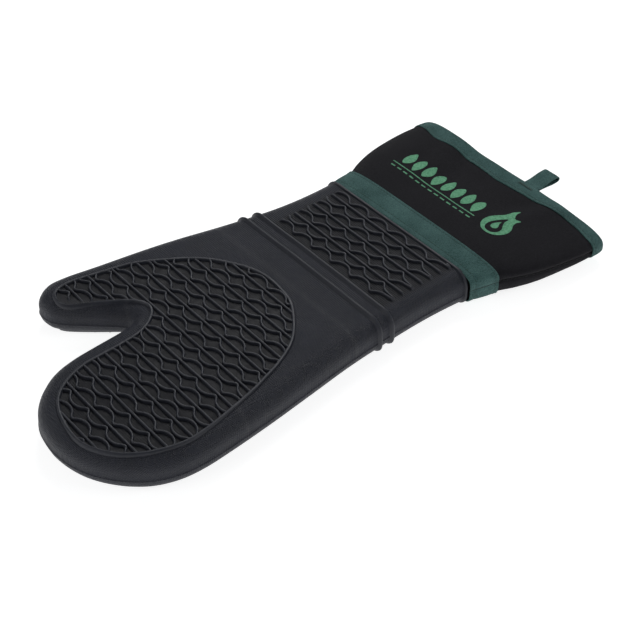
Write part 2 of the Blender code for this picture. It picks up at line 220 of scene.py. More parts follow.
def silicone_look(name, dark, light, grain_depth, rough, specular):
    """Moulded silicone. The plain outer faces have a fine grain in rows, as
    of woven cloth; the ribs and the ground between them are smoother."""
    look = Look(name, rough, specular)
    at = look.place()
    split = look.node("ShaderNodeSeparateXYZ")
    look.link(at, split.inputs[0])
    turns = [look.maths("SINE", look.maths("MULTIPLY", split.outputs[i], 2 * math.pi / pitch))
             for i, pitch in enumerate((0.0013, 0.0012, 0.0012))]
    both = look.maths("ADD", turns[1], turns[2])
    knots = look.maths("MULTIPLY_ADD", turns[0], both, look.noise(at, 900.0, 2.0))
    grain = look.maths("MULTIPLY", knots, 0.5)
    fine = look.noise(at, 2600.0, 3.0, 0.65)
    patch = look.noise(at, 38.0, 5.0, 0.6)
    smear = look.noise(at, 260.0, 4.0, 0.6)
    share = look.maths("MULTIPLY_ADD", smear, 0.55, look.maths("MULTIPLY", patch, 0.6))
    base = look.blend(look.spread(share, 0.35, 0.80), dark, light)
    # Convex crests and edges are blended towards a lighter grey: painted highlight where the rounded
    # ribs catch the light.
    wear_and_crest_sheen = look.node("ShaderNodeNewGeometry").outputs["Pointiness"]
    painted_crest_highlight = look.maths("MULTIPLY", look.spread(wear_and_crest_sheen, 0.52, 0.62), 0.4)
    base = look.blend(painted_crest_highlight, base, srgb(66, 66, 70))
    # The ground between the ribs behind the wrist is painted darker than the shoulders, in a soft
    # rectangle: painted shade between the ribs.
    shade = None
    for i, (a, b) in enumerate(((0.0115, 0.0145), (0.0708, 0.0694), (-0.0600, -0.0555),
                                (0.0505, 0.0465))):
        part = look.spread(split.outputs[i // 2], a, b)
        shade = part if shade is None else look.maths("MULTIPLY", shade, part)
    if name == "silicone_grained":
        # Blending towards srgb(14, 15, 20) there paints the shade.
        base = look.blend(look.maths("MULTIPLY", shade, 0.8), base, srgb(14, 15, 20))
    look.colour(base)
    look.rough(look.spread(smear, 0.3, 0.7, rough - 0.07, rough + 0.07))
    first = look.bump(grain, 0.00013 * grain_depth, 1.0)
    look.bump(fine, 0.00006, 0.5, first)
    return look.mat


def canvas_look(name, dark, light, period=0.62, wear_and_crest_sheen=0.25):
    look = Look(name, 0.92, 0.18, Sheen_Weight=0.03, Sheen_Roughness=0.6)
    weave, a, b, split = look.threads(period, period)
    at = look.place()
    slub = look.noise(at, 900.0, 3.0)
    patch = look.noise(at, 35.0, 5.0, 0.6)
    share = look.maths("ADD", look.maths("MULTIPLY", weave, 0.28), slub)
    share = look.maths("ADD", share, look.maths("MULTIPLY", patch, wear_and_crest_sheen))
    look.colour(look.blend(look.spread(share, 0.35, 1.15), dark, light))
    first = look.bump(weave, 0.00010, 0.8)
    look.bump(slub, 0.00012, 0.5, first)
    return look.mat


def twill_look(name, dark, light):
    look = Look(name, 0.88, 0.2, Sheen_Weight=0.05, Sheen_Roughness=0.5)
    split = look.node("ShaderNodeSeparateXYZ")
    look.link(look.cloth(), split.inputs[0])
    slant = look.maths("ADD", split.outputs[0], split.outputs[1])
    ridge = look.maths("SINE", look.maths("MULTIPLY", slant, 2 * math.pi / 0.9))
    cross = look.maths("SINE", look.maths("MULTIPLY", split.outputs[0], 2 * math.pi / 0.38))
    height = look.maths("MULTIPLY_ADD", cross, 0.35, ridge)
    at = look.place()
    fleck = look.noise(at, 1300.0, 2.0)
    patch = look.noise(at, 55.0, 4.0)
    share = look.maths("MULTIPLY_ADD", height, 0.16, fleck)
    share = look.maths("MULTIPLY_ADD", patch, 0.7, share)
    look.colour(look.blend(look.spread(share, 0.5, 1.25), dark, light))
    first = look.bump(height, 0.00010, 0.9)
    look.bump(fleck, 0.00010, 0.5, first)
    return look.mat


def thread_look(name, dark, light):
    look = Look(name, 0.6, 0.35, Sheen_Weight=0.1, Sheen_Roughness=0.4)
    at = look.place()
    node = look.node("ShaderNodeTexWave", wave_type="BANDS", bands_direction="DIAGONAL")
    node.inputs["Scale"].default_value = 900.0
    node.inputs["Distortion"].default_value = 2.0
    look.link(at, node.inputs["Vector"])
    look.colour(look.blend(node.outputs["Fac"], dark, light))
    look.bump(node.outputs["Fac"], 0.00006, 0.7)
    return look.mat


def batting_look():
    look = Look("cotton_batting", 0.97, 0.1, Sheen_Weight=0.2, Sheen_Roughness=0.7)
    at = look.place()
    lumps = look.noise(at, 90.0, 6.0, 0.7)
    fibre = look.noise(at, 1500.0, 4.0, 0.8)
    share = look.maths("MULTIPLY_ADD", fibre, 0.5, look.maths("MULTIPLY", lumps, 0.5))
    look.colour(look.blend(share, srgb(176, 168, 150), srgb(224, 219, 204)))
    first = look.bump(lumps, 0.0012, 0.6)
    look.bump(fibre, 0.0004, 0.8, first)
    return look.mat


def print_look():
    look = Look("print_ink", 0.75, 0.25)
    at = look.place()
    wear = look.noise(at, 700.0, 4.0, 0.7)
    weave, a, b, split = look.threads(0.62, 0.62)
    share = look.maths("MULTIPLY_ADD", weave, 0.12, wear)
    look.colour(look.blend(look.spread(share, 0.30, 0.62), srgb(72, 130, 98), srgb(112, 178, 138)))
    look.bump(share, 0.00006, 0.7)
    return look.mat


SILICONE = silicone_look("silicone_grained", srgb(31, 33, 41), srgb(41, 43, 53), 2.2, 0.54, 0.34)
# The ground inside the border is smoother, and its darker base colour is painted shade of the recess
# between the ribs.
GROUND_PAINTED_SHADE = silicone_look("silicone_ground", srgb(10, 11, 17), srgb(16, 17, 24), 0.35, 0.58, 0.22)
RIBS = silicone_look("silicone_ribs", srgb(33, 35, 43), srgb(43, 45, 54), 0.12, 0.50, 0.42)
CANVAS = canvas_look("canvas_black", srgb(18, 17, 21), srgb(37, 36, 41))
CUFF_CLOTH = canvas_look("cuff_lining_black", srgb(20, 19, 22), srgb(42, 41, 45), 0.45)
COTTON = canvas_look("lining_quilted", srgb(52, 52, 55), srgb(82, 82, 86), 0.5)
TAPE = twill_look("tape_green", srgb(32, 62, 60), srgb(92, 128, 124))
THREAD = thread_look("thread_green", srgb(34, 60, 56), srgb(62, 92, 86))
BLACK_THREAD = thread_look("thread_black", srgb(12, 12, 14), srgb(34, 34, 38))
BATTING = batting_look()
INK = print_look()


# -------------------------------------------------------------- mesh building
class Whole:
    """Points and faces of one moulding or cloth, before it is parted into
    pieces. Faces in the same group share smooth normals, so pieces parted
    later keep the shading of the whole. Group 0 is shaded flat."""

    def __init__(self):
        self.verts, self.faces, self.groups, self.names = [], [], [], []
        self.cloth, self.mats = [], []
        self.count = 0

    def add(self, verts, faces, group, names, cloth=None, mat=0):
        base = self.count
        self.verts.append(np.asarray(verts, float).reshape(-1, 3))
        self.count += len(self.verts[-1])
        self.faces += [tuple(base + i for i in f) for f in faces]
        n = len(faces)
        self.groups += list(group) if hasattr(group, "__len__") else [group] * n
        self.names += [names] * n if isinstance(names, str) else list(names)
        self.mats += list(mat) if hasattr(mat, "__len__") else [mat] * n
        if cloth is not None:
            self.cloth.append(np.asarray(cloth, float).reshape(-1, 2))
        return base

    def build(self, title, material):
        """One object for each piece name."""
        verts = np.concatenate(self.verts)
        cloth = np.concatenate(self.cloth) if self.cloth else None
        quads = np.array([f if len(f) == 4 else (f + (f[2],)) for f in self.faces])
        normal = np.cross(
            verts[quads[:, 2]] - verts[quads[:, 0]], verts[quads[:, 3]] - verts[quads[:, 1]]
        )
        groups = np.array(self.groups)
        keys = groups[:, None] * (len(verts) + 1) + quads
        uniq, where = np.unique(keys.ravel(), return_inverse=True)
        where = where.reshape(keys.shape)
        total = np.zeros((len(uniq), 3))
        for k in range(4):
            rows = np.arange(len(quads)) if k < 3 else np.nonzero(quads[:, 3] != quads[:, 2])[0]
            np.add.at(total, where[rows, k], normal[rows])
        total /= np.maximum(np.linalg.norm(total, axis=1), 1e-20)[:, None]
        flat = normal / np.maximum(np.linalg.norm(normal, axis=1), 1e-20)[:, None]
        names = np.array(self.names)
        made = {}
        for name in sorted(set(self.names)):
            chosen = np.nonzero(names == name)[0]
            used = np.unique(quads[chosen])
            index = np.full(len(verts), -1)
            index[used] = np.arange(len(used))
            faces, loop_normals, loop_cloth = [], [], []
            for i in chosen:
                face = self.faces[i]
                faces.append(tuple(int(index[p]) for p in face))
                for k in range(len(face)):
                    loop_normals.append(flat[i] if groups[i] == 0 else total[where[i, k]])
                    if cloth is not None:
                        loop_cloth.append(cloth[face[k]])
            mesh = bpy.data.meshes.new(title.format(name))
            mesh.from_pydata(verts[used].tolist(), [], faces)
            mesh.shade_smooth()
            if cloth is not None:
                layer = mesh.uv_layers.new(name="cloth")
                layer.data.foreach_set("uv", np.array(loop_cloth, np.float32).ravel())
            mesh.normals_split_custom_set([tuple(map(float, n)) for n in loop_normals])
            for one in material if isinstance(material, tuple) else (material,):
                mesh.materials.append(one)
            if isinstance(material, tuple):
                mesh.polygons.foreach_set("material_index", [self.mats[i] for i in chosen])
            obj = bpy.data.objects.new(title.format(name), mesh)
            bpy.context.scene.collection.objects.link(obj)
            made[name] = obj
        return made


def spline(points, per_segment, closed=False):
    """Catmull-Rom curve through the points."""
    pts = [np.array(p, float) for p in points]
    if closed:
        pts = [pts[-1]] + pts + [pts[0], pts[1]]
    else:
        pts = [2 * pts[0] - pts[1]] + pts + [2 * pts[-1] - pts[-2]]
    out = []
    for i in range(1, len(pts) - 2):
        a, b, c, d = pts[i - 1 : i + 3]
        for k in range(per_segment):
            t = k / per_segment
            out.append(
                0.5 * (2 * b + (c - a) * t + (2 * a - 5 * b + 4 * c - d) * t**2
                       + (3 * b - a - 3 * c + d) * t**3)
            )
    if not closed:
        out.append(pts[-2])
    return np.array(out)


def eased(x, xs, ys):
    """Smooth curve through (xs, ys)."""
    xs, ys = np.array(xs, float), np.array(ys, float)
    slope = np.gradient(ys, xs)
    i = int(np.clip(np.searchsorted(xs, x) - 1, 0, len(xs) - 2))
    h = xs[i + 1] - xs[i]
    t = np.clip((x - xs[i]) / h, 0.0, 1.0)
    return float((2 * t**3 - 3 * t**2 + 1) * ys[i] + (t**3 - 2 * t**2 + t) * h * slope[i]
                 + (3 * t**2 - 2 * t**3) * ys[i + 1] + (t**3 - t**2) * h * slope[i + 1])


def resample(path, step=None, count=None, closed=False):
    """Points evenly spaced along a path of any dimension."""
    path = np.asarray(path, float)
    if closed:
        path = np.concatenate([path, path[:1]])
    length = np.concatenate([[0], np.cumsum(np.linalg.norm(np.diff(path, axis=0), axis=1))])
    if count is None:
        count = max(2, int(round(length[-1] / step)) + (0 if closed else 1))
    at = np.linspace(0, length[-1], count + 1)[:-1] if closed else np.linspace(0, length[-1], count)
    return np.stack([np.interp(at, length, path[:, k]) for k in range(path.shape[1])], axis=1)


def tangents(path, closed=False):
    if closed:
        t = np.roll(path, -1, axis=0) - np.roll(path, 1, axis=0)
    else:
        t = np.gradient(path, axis=0)
    return t / np.maximum(np.linalg.norm(t, axis=1), 1e-12)[:, None]


def inside(polygon, pts):
    """Which points lie in a closed polygon."""
    x, y = pts[:, 0], pts[:, 1]
    result = np.zeros(len(pts), bool)
    for (xa, ya), (xb, yb) in zip(polygon, np.roll(polygon, -1, axis=0)):
        crosses = (ya > y) != (yb > y)
        if crosses.any():
            at = xa + (y - ya) / (yb - ya + 1e-300) * (xb - xa)
            result ^= crosses & (x < at)
    return result


def nearest(points, samples, chunk=3000):
    """Index of the sample nearest to each point."""
    out = np.zeros(len(points), int)
    for i in range(0, len(points), chunk):
        d = points[i : i + chunk, None, :] - samples[None, :, :]
        out[i : i + chunk] = np.argmin((d * d).sum(-1), axis=1)
    return out


def fill_outline(ring, spacing, lines=()):
    """Triangles inside a closed outline, on a grid of extra points. The
    triangles' edges follow the closed lines."""
    lo, hi = ring.min(0), ring.max(0)
    rows, k = [], 0
    y = lo[1]
    while y < hi[1]:
        xs = np.arange(lo[0] + (spacing / 2 if k % 2 else 0), hi[0], spacing)
        rows.append(np.stack([xs, np.full(len(xs), y)], axis=1))
        y += spacing * 0.866
        k += 1
    grid = np.concatenate(rows)
    grid = grid[inside(ring, grid)]
    fixed = np.concatenate([ring, *lines])
    near = nearest(grid, fixed)
    grid = grid[np.linalg.norm(grid - fixed[near], axis=1) > spacing * 0.62]
    pts = np.concatenate([fixed, grid])
    edges, start = [], 0
    for line in (ring, *lines):
        n = len(line)
        edges += [(start + i, start + (i + 1) % n) for i in range(n)]
        start += n
    scale = 1000.0
    verts, _, faces, origin, _, _ = delaunay_2d_cdt(
        [Vector(p * scale) for p in pts], edges, [], 1, 1e-6
    )
    back = {i: o[0] for i, o in enumerate(origin) if o}
    tris = []
    for f in faces:
        if all(i in back for i in f):
            a, b, c = (back[i] for i in f)
            area = np.cross(pts[b] - pts[a], pts[c] - pts[a])
            if abs(area) > 1e-12:
                tris.append((a, b, c) if area > 0 else (a, c, b))
    return pts, tris


# ------------------------------------------------------------ the hand's form
EDGE = (
    (11.5, 1.30), (9.0, 1.19), (7.6, 1.18), (6.2, 1.27), (5.0, 1.46),
    (3.4, 1.81), (1.6, 2.22), (-0.4, 2.60), (-2.2, 2.89), (-3.6, 3.12),
    (-4.50, 3.09), (-5.14, 2.60), (-5.17, 1.93), (-4.90, 1.43), (-4.36, 0.90),
    (-3.66, 0.27), (-3.13, -0.22), (-2.87, -0.62), (-3.04, -0.95),
    (-3.61, -1.08), (-4.9, -1.17), (-6.0, -1.27), (-6.90, -1.48),
    (-7.62, -1.88), (-8.25, -2.46), (-8.69, -3.23), (-8.86, -4.18),
    (-8.82, -4.96), (-8.67, -5.61), (-8.42, -6.21), (-8.02, -6.83),
    (-7.48, -7.42), (-6.79, -7.92), (-5.9, -8.25), (-4.9, -8.36),
    (-3.6, -8.30), (-1.6, -8.12), (0.6, -7.86), (2.8, -7.60), (5.0, -7.47),
    (7.0, -7.43), (9.0, -7.54), (11.5, -7.80),
)
REAR = 9.0
SIDE_LOW, SIDE_HIGH = 9.0, 14.5
ROUND_TOP, ROUND_BOTTOM = 9.5, 7.5

dense = spline(EDGE, 40)


def clipped(path, rear):
    """The edge up to the rear, with its two ends exactly on it."""
    keep = np.nonzero(path[:, 0] < rear)[0]
    a, b = keep[0], keep[-1]

    def cut(p, q):
        t = (rear - p[0]) / (q[0] - p[0])
        return p + (q - p) * t

    return np.concatenate([[cut(path[a - 1], path[a])], path[a : b + 1],
                           [cut(path[b + 1], path[b])]])


def edge_at(step_mm, rear=REAR):
    """Points along the hand's edge in metres, and their inward directions."""
    path = resample(clipped(dense, rear), step=step_mm / PITCH)
    t = tangents(path)
    inward = np.stack([-t[:, 1], t[:, 0]], axis=1)
    inward[0], inward[-1] = (0, -1), (0, 1)
    return np.stack(xy(path[:, 0], path[:, 1]), axis=1), inward


EDGE_PTS, EDGE_IN = edge_at(0.8, 11.0)
tip = int(np.argmin(EDGE_PTS[:, 0]))
NEAR_X, NEAR_Y = EDGE_PTS[tip:, 0], EDGE_PTS[tip:, 1]
wide = EDGE_PTS[:tip][EDGE_PTS[:tip, 0] > float(xy(0, 0)[0])][::-1]
FAR_X, FAR_Y = wide[:, 0], wide[:, 1]


def depth_in(x, y):
    """Distance in mm from the hand's edge, inwards."""
    pts = np.stack([np.ravel(x), np.ravel(y)], axis=1)
    i = nearest(pts, EDGE_PTS)
    return ((pts - EDGE_PTS[i]) * EDGE_IN[i]).sum(1) / MM


def swell(x, y):
    """Slow unevenness of a soft moulding, in mm."""
    u = (np.asarray(x) - X0) / S
    w = 0.22 * np.sin(x * 41 + 1.3) * np.sin(y * 53 + 0.7)
    w = w + 0.14 * np.sin(x * 88 + y * 61 + 2.0) + 0.08 * np.sin(y * 140 - x * 75)
    return w * smooth((8.6 - u) / 1.5)


def top_height(x, y):
    d = np.clip(depth_in(x, y), 0.0, ROUND_TOP)
    rise = np.sqrt(np.maximum(1 - (1 - d / ROUND_TOP) ** 2, 0))
    z = SIDE_HIGH + (TOP - SIDE_HIGH) * rise
    return z + swell(x, y) * ((z - SIDE_HIGH) / (TOP - SIDE_HIGH)) ** 2


def bottom_height(x, y):
    d = np.clip(depth_in(x, y), 0.0, ROUND_BOTTOM)
    rise = np.sqrt(np.maximum(1 - (1 - d / ROUND_BOTTOM) ** 2, 0))
    return SIDE_LOW - (SIDE_LOW - BASE) * rise


# ---------------------------------------------------- sections and their bends
THUMB_HINGE = (-2.80, 1.25)
THUMB_ACROSS = (0.890, -0.455)


def section(u, v):
    """Name of the section of the hand that a plan point belongs to."""
    u, v = np.asarray(u, float), np.asarray(v, float)
    p = (u - THUMB_HINGE[0]) * THUMB_ACROSS[0] + (v - THUMB_HINGE[1]) * THUMB_ACROSS[1]
    out = np.full(u.shape, "palm", dtype=object)
    out[(u < -2.85) & (v < -0.95)] = "fingers"
    out[(p < 0.72) & (v >= -0.95) & (u < 3)] = "thumb"
    out[u > 3.0] = "gauntlet"
    return out


def attach(obj, name):
    if name == "palm":
        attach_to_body(obj, "palm")
    else:
        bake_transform(obj)


def shell_of(whole, outer, faces, away, thick, rim_group=0, groups=(1, 2), cloth=None, mats=0):
    """Adds a wall to a whole: outer faces, inner faces thick mm below them,
    and rims along the border of each section."""
    middle = np.array([outer[list(f)].mean(0) for f in faces])
    names = section(*uv(middle[:, 0], middle[:, 1]))
    inner = outer - away * (np.asarray(thick).reshape(-1, 1) * MM)
    m = len(outer)
    both = None if cloth is None else np.concatenate([cloth, cloth])
    base = whole.add(np.concatenate([outer, inner]), faces, groups[0], names, both, mats)
    whole.faces += [tuple(base + m + i for i in reversed(f)) for f in faces]
    whole.groups += [groups[1]] * len(faces)
    whole.names += list(names)
    whole.mats += [0] * len(faces)
    borders = {}
    for f, name in zip(faces, names):
        for a, b in zip(f, f[1:] + f[:1]):
            key = (name, min(a, b), max(a, b))
            borders.setdefault(key, []).append((a, b))
    for (name, _, _), found in borders.items():
        if len(found) == 1:
            a, b = found[0]
            whole.faces.append((base + b, base + a, base + m + a, base + m + b))
            whole.groups.append(rim_group)
            whole.names.append(name)
            whole.mats.append(0)


def outward(verts, faces):
    """Smooth normals of an open surface."""
    quads = np.array([f if len(f) == 4 else (f + (f[2],)) for f in faces])
    n = np.cross(verts[quads[:, 2]] - verts[quads[:, 0]], verts[quads[:, 3]] - verts[quads[:, 1]])
    total = np.zeros_like(verts)
    for k in range(4):
        np.add.at(total, quads[:, k], n)
    return total / np.maximum(np.linalg.norm(total, axis=1), 1e-20)[:, None]


def hand_surface(profile, step, spacing, top_z, bottom_z, rear=REAR, top_lines=()):
    """The hand's rounded surface: rings along its edge, then the flat top and
    bottom. profile runs from the bottom's rounding to the top's."""
    plan, inward = edge_at(step, rear)
    count = len(plan)
    rings = []
    for offset, z in profile:
        p = plan + inward * (offset * MM)
        rings.append(np.column_stack([p, np.full(count, z * MM)]))
    verts = list(rings)
    faces = []
    for k in range(len(rings) - 1):
        for i in range(count - 1):
            a, b = k * count + i, (k + 1) * count + i
            faces.append((a, a + 1, b + 1, b))
    total = len(rings) * count
    for level, height, up in ((0, bottom_z, False), (len(rings) - 1, top_z, True)):
        ring = rings[level][:, :2]
        gap = np.linalg.norm(ring[-1] - ring[0])
        n = max(2, int(gap / (spacing * MM)))
        t = np.linspace(0, 1, n + 1)[1:-1, None]
        close = ring[-1] + (ring[0] - ring[-1]) * t
        outline = np.concatenate([ring, close])
        pts, tris = fill_outline(outline, spacing * MM, top_lines if up else ())
        extra = pts[count:]
        verts.append(np.column_stack([extra, np.full(len(extra), height * MM)]))

        def index(i, level=level, total=total):
            return level * count + i if i < count else total + i - count

        for a, b, c in tris:
            a, b, c = index(a), index(b), index(c)
            faces.append((a, b, c) if up else (a, c, b))
        total += len(extra)
    return np.concatenate(verts), faces, count


def rounding(depth, low_steps, high_steps, base=BASE, top=None, tuck=0.6):
    """Profile points (offset, height) of the side, from below to above."""
    top = TOP if top is None else top
    low_reach, high_reach = ROUND_BOTTOM - tuck * depth, ROUND_TOP - tuck * depth
    low, high = SIDE_LOW - base - depth, top - SIDE_HIGH - depth
    points = []
    for a in np.linspace(0, math.pi / 2, low_steps):
        points.append((depth + low_reach * (1 - math.sin(a)), SIDE_LOW - low * math.cos(a)))
    side = len(points)
    for a in np.linspace(0, math.pi / 2, high_steps):
        points.append((depth + high_reach * (1 - math.cos(a)), SIDE_HIGH + high * math.sin(a)))
    return points, side


# -------------------------------------------------------------- silicone shell
BORDER = (
    (-8.3, -5.3), (-8.22, -4.4), (-7.95, -3.5), (-7.48, -2.85), (-6.75, -2.4), (-5.9, -2.15),
    (-5, -2.1), (-4.2, -2.05), (-3.5, -1.98), (-2.93, -1.8), (-2.45, -1.48), (-2.15, -1.08),
    (-2.15, -0.68), (-2.5, -0.18), (-3.2, 0.35), (-3.9, 0.85), (-4.45, 1.25), (-4.72, 1.6),
    (-4.7, 1.98), (-4.45, 2.22), (-4.0, 2.33), (-3.3, 2.25), (-2.4, 2.05), (-1.45, 1.82),
    (-1, 1.64), (-0.5, 1.36), (0.02, 1.05), (0.78, 0.55), (1.42, -0.05), (2.02, -0.91),
    (2.43, -1.73), (2.58, -2.64), (2.47, -3.82), (2.29, -4.36), (2.02, -4.82), (1.42, -5.61),
    (0.7, -6.26), (-0.33, -6.77), (-1, -7.0), (-2, -7.32), (-3.5, -7.65), (-4.4, -7.8),
    (-5.2, -7.85), (-6, -7.70), (-6.83, -7.35), (-7.58, -6.75), (-8.1, -6.0),
)
BORDER_RING = resample(spline(BORDER, 12, True), step=0.11, closed=True)
BORDER_XY = np.stack(xy(BORDER_RING[:, 0], BORDER_RING[:, 1]), axis=1)


def recess(x, y):
    """Depth in mm of the ground inside the border rib."""
    pts = np.stack([np.ravel(x), np.ravel(y)], axis=1)
    near = nearest(pts, BORDER_XY)
    away = np.linalg.norm(pts - BORDER_XY[near], axis=1) / MM
    return np.where(inside(BORDER_XY, pts), RECESS * smooth((away - 0.25) / 1.2), 0.0)


profile, side = rounding(0.0, 8, 9)
RIDGE = ((-0.04, 9.15), (-0.24, 9.35), (-0.42, 9.6), (-0.24, 9.85), (-0.04, 10.1), (0.0, 10.6))
profile = profile[:side] + list(RIDGE) + profile[side:]
skin, skin_faces, _ = hand_surface(profile, 1.7, 2.8, TOP, BASE, top_lines=(BORDER_XY,))
share = np.clip((skin[:, 2] / MM - SIDE_HIGH) / (TOP - SIDE_HIGH), 0, 1)
on_top = skin[:, 2] > (SIDE_HIGH + 3) * MM
skin[:, 2] += swell(skin[:, 0], skin[:, 1]) * share**2 * MM
skin[on_top, 2] -= recess(skin[on_top, 0], skin[on_top, 1]) * MM
middle = np.array([skin[list(f)].mean(0) for f in skin_faces])
# Faces of the sunk ground inside the border take the second material, whose darker colour is painted
# shade.
ground = inside(BORDER_XY, middle[:, :2]) & (middle[:, 2] > (SIDE_HIGH + 3) * MM)
hand = Whole()
shell_of(hand, skin, skin_faces, outward(skin, skin_faces), np.full(len(skin), 1.8),
         mats=ground.astype(int).tolist())

# Flat-topped rib with steep sides: (share of the half width, share of height)
RIB = ((-1.0, -0.12), (-0.89, 0.10), (-0.76, 0.52), (-0.62, 0.85), (-0.36, 0.98), (0.0, 1.02),
       (0.36, 0.98), (0.62, 0.85), (0.76, 0.52), (0.89, 0.10), (1.0, -0.12))
RIB_LOW = ((-1.0, -0.12), (-0.76, 0.35), (-0.5, 0.88), (0.0, 1.0), (0.5, 0.88), (0.76, 0.35),
           (1.0, -0.12))


def runs(names, closed=False):
    """Stretches of equal names along a path's segments: (start, end, name)."""
    out, start = [], 0
    for i in range(1, len(names) + 1):
        if i == len(names) or names[i] != names[start]:
            out.append((start, i, names[start]))
            start = i
    return out


def add_strip(whole, rows, profile_count, names, group, closed):
    """A solid strip from its cross sections (n, m, 3); the last two points of
    each section are its buried underside."""
    n, m, _ = rows.shape
    segments = n if closed else n - 1
    for start, end, name in runs(list(names[:segments])):
        part = rows[[i % n for i in range(start, end + 1)]]
        k = len(part)
        whole_loop = closed and start == 0 and end == segments
        if whole_loop:
            part, k = part[:-1], k - 1
        faces, groups = [], []
        for i in range(k if whole_loop else k - 1):
            j = (i + 1) % k
            for s in range(m):
                t = (s + 1) % m
                faces.append((i * m + s, j * m + s, j * m + t, i * m + t))
                groups.append(group if s < profile_count - 1 else 0)
        if not whole_loop:
            for s in range(1, m - 1):
                faces.append((0, s, s + 1))
                faces.append(((k - 1) * m, (k - 1) * m + s + 1, (k - 1) * m + s))
                groups += [0, 0]
        whole.add(part.reshape(-1, 3), faces, groups, [name] * len(faces), mat=2)


def rib(whole, path, width, height, on_top=True, closed=False, taper=None, shape=RIB, sunk=0.0):
    """A rib along a plan path (pitches), lying on the hand's top or bottom,
    or on the sunk ground inside the border."""
    plan = np.stack(xy(path[:, 0], path[:, 1]), axis=1)
    t = tangents(plan, closed)
    across = np.stack([-t[:, 1], t[:, 0]], axis=1)
    if not on_top:
        across = -across
    half = width / 2 * MM
    size = np.ones(len(plan)) if taper is None else taper
    cols = []
    for s, h in shape + ((1.0, -0.6), (-1.0, -0.6)):
        p = plan + across * (s * half)
        if on_top:
            ground = top_height(p[:, 0], p[:, 1]) - sunk
            z = ground + (height + sunk) * h * size - 0.1 * (1 - size)
        else:
            ground = bottom_height(p[:, 0], p[:, 1])
            z = ground - height * h * size + 0.1 * (1 - size)
        cols.append(np.column_stack([p, z * MM]))
    rows = np.stack(cols, axis=1)
    mid = (path + np.roll(path, -1, axis=0)) / 2
    names = section(mid[:, 0], mid[:, 1])
    # Faces are wound so that the profile's normals point out of the surface.
    add_strip(whole, rows, len(shape), names, 1, closed)


WAVE = 1.211  # pitches from one bulge of a wave to the next


# Half a wave, from the middle of a bulge to the pinch: (share of the way,
# share of the bulge's width). Round arcs that meet in short fillets.
ARC = ((0.0, 1.0), (0.15, 0.98), (0.30, 0.91), (0.45, 0.79), (0.57, 0.65), (0.68, 0.47),
       (0.78, 0.26), (0.88, 0.09), (1.0, 0.0), (1.12, 0.09))


def wave_at(k, sign, v, phase, pinch, bulge):
    """The waves beside a straight rib: round bulges and short pinches."""
    turn = np.abs((phase - v / WAVE + 0.5) % 1.0 - 0.5) * 2
    xs = [a[0] for a in ARC]
    share = np.array([eased(t, xs, [a[1] for a in ARC]) for t in turn])
    return k + sign * (pinch + (bulge - pinch) * share)


def ribs_on(whole, on_top):
    step = 0.05 if on_top else 0.09
    shape = RIB if on_top else RIB_LOW
    tall = RIB_TALL if on_top else BASE
    sunk = RECESS if on_top else 0.0
    rib(whole, BORDER_RING, 2.5, tall + 0.15 if on_top else BASE, on_top, True, shape=shape)
    v = np.arange(-8.2, 3.0, step)
    for k in range(-9, 5):
        lines = [(np.full(len(v), float(k)), True)]
        lines += [(wave_at(k + 0.015, s, v, 0.0, 0.15, 0.422), False) for s in (1, -1)]
        for u, straight in lines:
            path = np.stack([u, v], axis=1)
            within = inside(BORDER_RING, path)
            for start, end, ok in runs(list(within)):
                if ok and end - start > 2:
                    a, b = max(start - 1, 0), min(end + 1, len(path))
                    part = path[a:b]
                    if straight:
                        part = resample(part, step=0.2)
                    rib(whole, part, 1.85, tall, on_top, shape=shape, sunk=sunk)
    # Behind the wrist: no border, the ribs run out.
    raised = 0.45 if on_top else 0.0
    gauntlet = (5.07, 6.11, 7.14, 8.18, 9.20)
    for k in gauntlet:
        low, high = -6.78, 0.20
        v = np.arange(low, high, step)
        first, last = k == gauntlet[0], k == gauntlet[-1]
        lines = [] if first or last else [(np.full(len(v), k), 0)]
        for s in (1, -1):
            if (first and s < 0) or (last and s > 0):
                continue
            # The last bulge next to the near shoulder runs out into a point.
            wave = wave_at(k, s, np.maximum(v, -6.35), -0.243, 0.15, 0.45)
            wave = wave + s * 0.04 * np.clip((-6.35 - v) / 0.4, 0, 1)
            lines.append((wave, s))
        for u, s in lines:
            path = np.stack([u, v], axis=1)
            ok_part = (path[:, 0] < 8.74) & (path[:, 0] > 5.10)
            for start, end, ok in runs(list(ok_part)):
                if not ok or end - start < 3:
                    continue
                part = path[start:end]
                end_fade = smooth(np.minimum(part[:, 1] - low, high - part[:, 1]) / 0.1)
                rib(whole, part, 1.85, tall + raised, on_top, taper=0.15 + 0.85 * end_fade, shape=shape)


ribs_on(hand, True)
ribs_on(hand, False)


def loop_round(u, count_flat=26):
    """Closed section of the hand at u, up the far side and over the top, then down the near side and
    back under the bottom: points (y, z) in mm."""
    x = float(xy(u, 0)[0])
    near = np.interp(x, NEAR_X, NEAR_Y) / MM
    far = np.interp(x, FAR_X, FAR_Y) / MM
    side_points, _ = rounding(0.0, 9, 9)
    pts = []
    for offset, z in side_points:  # far side upwards
        pts.append((far - offset, z))
    a, b = far - ROUND_TOP, near + ROUND_TOP
    pts += [(a + (b - a) * t, TOP) for t in np.linspace(0, 1, count_flat)[1:-1]]
    for offset, z in reversed(side_points):
        pts.append((near + offset, z))
    a, b = near + ROUND_BOTTOM, far - ROUND_BOTTOM
    pts += [(a + (b - a) * t, BASE) for t in np.linspace(0, 1, count_flat)[1:-1]]
    return np.array(pts)


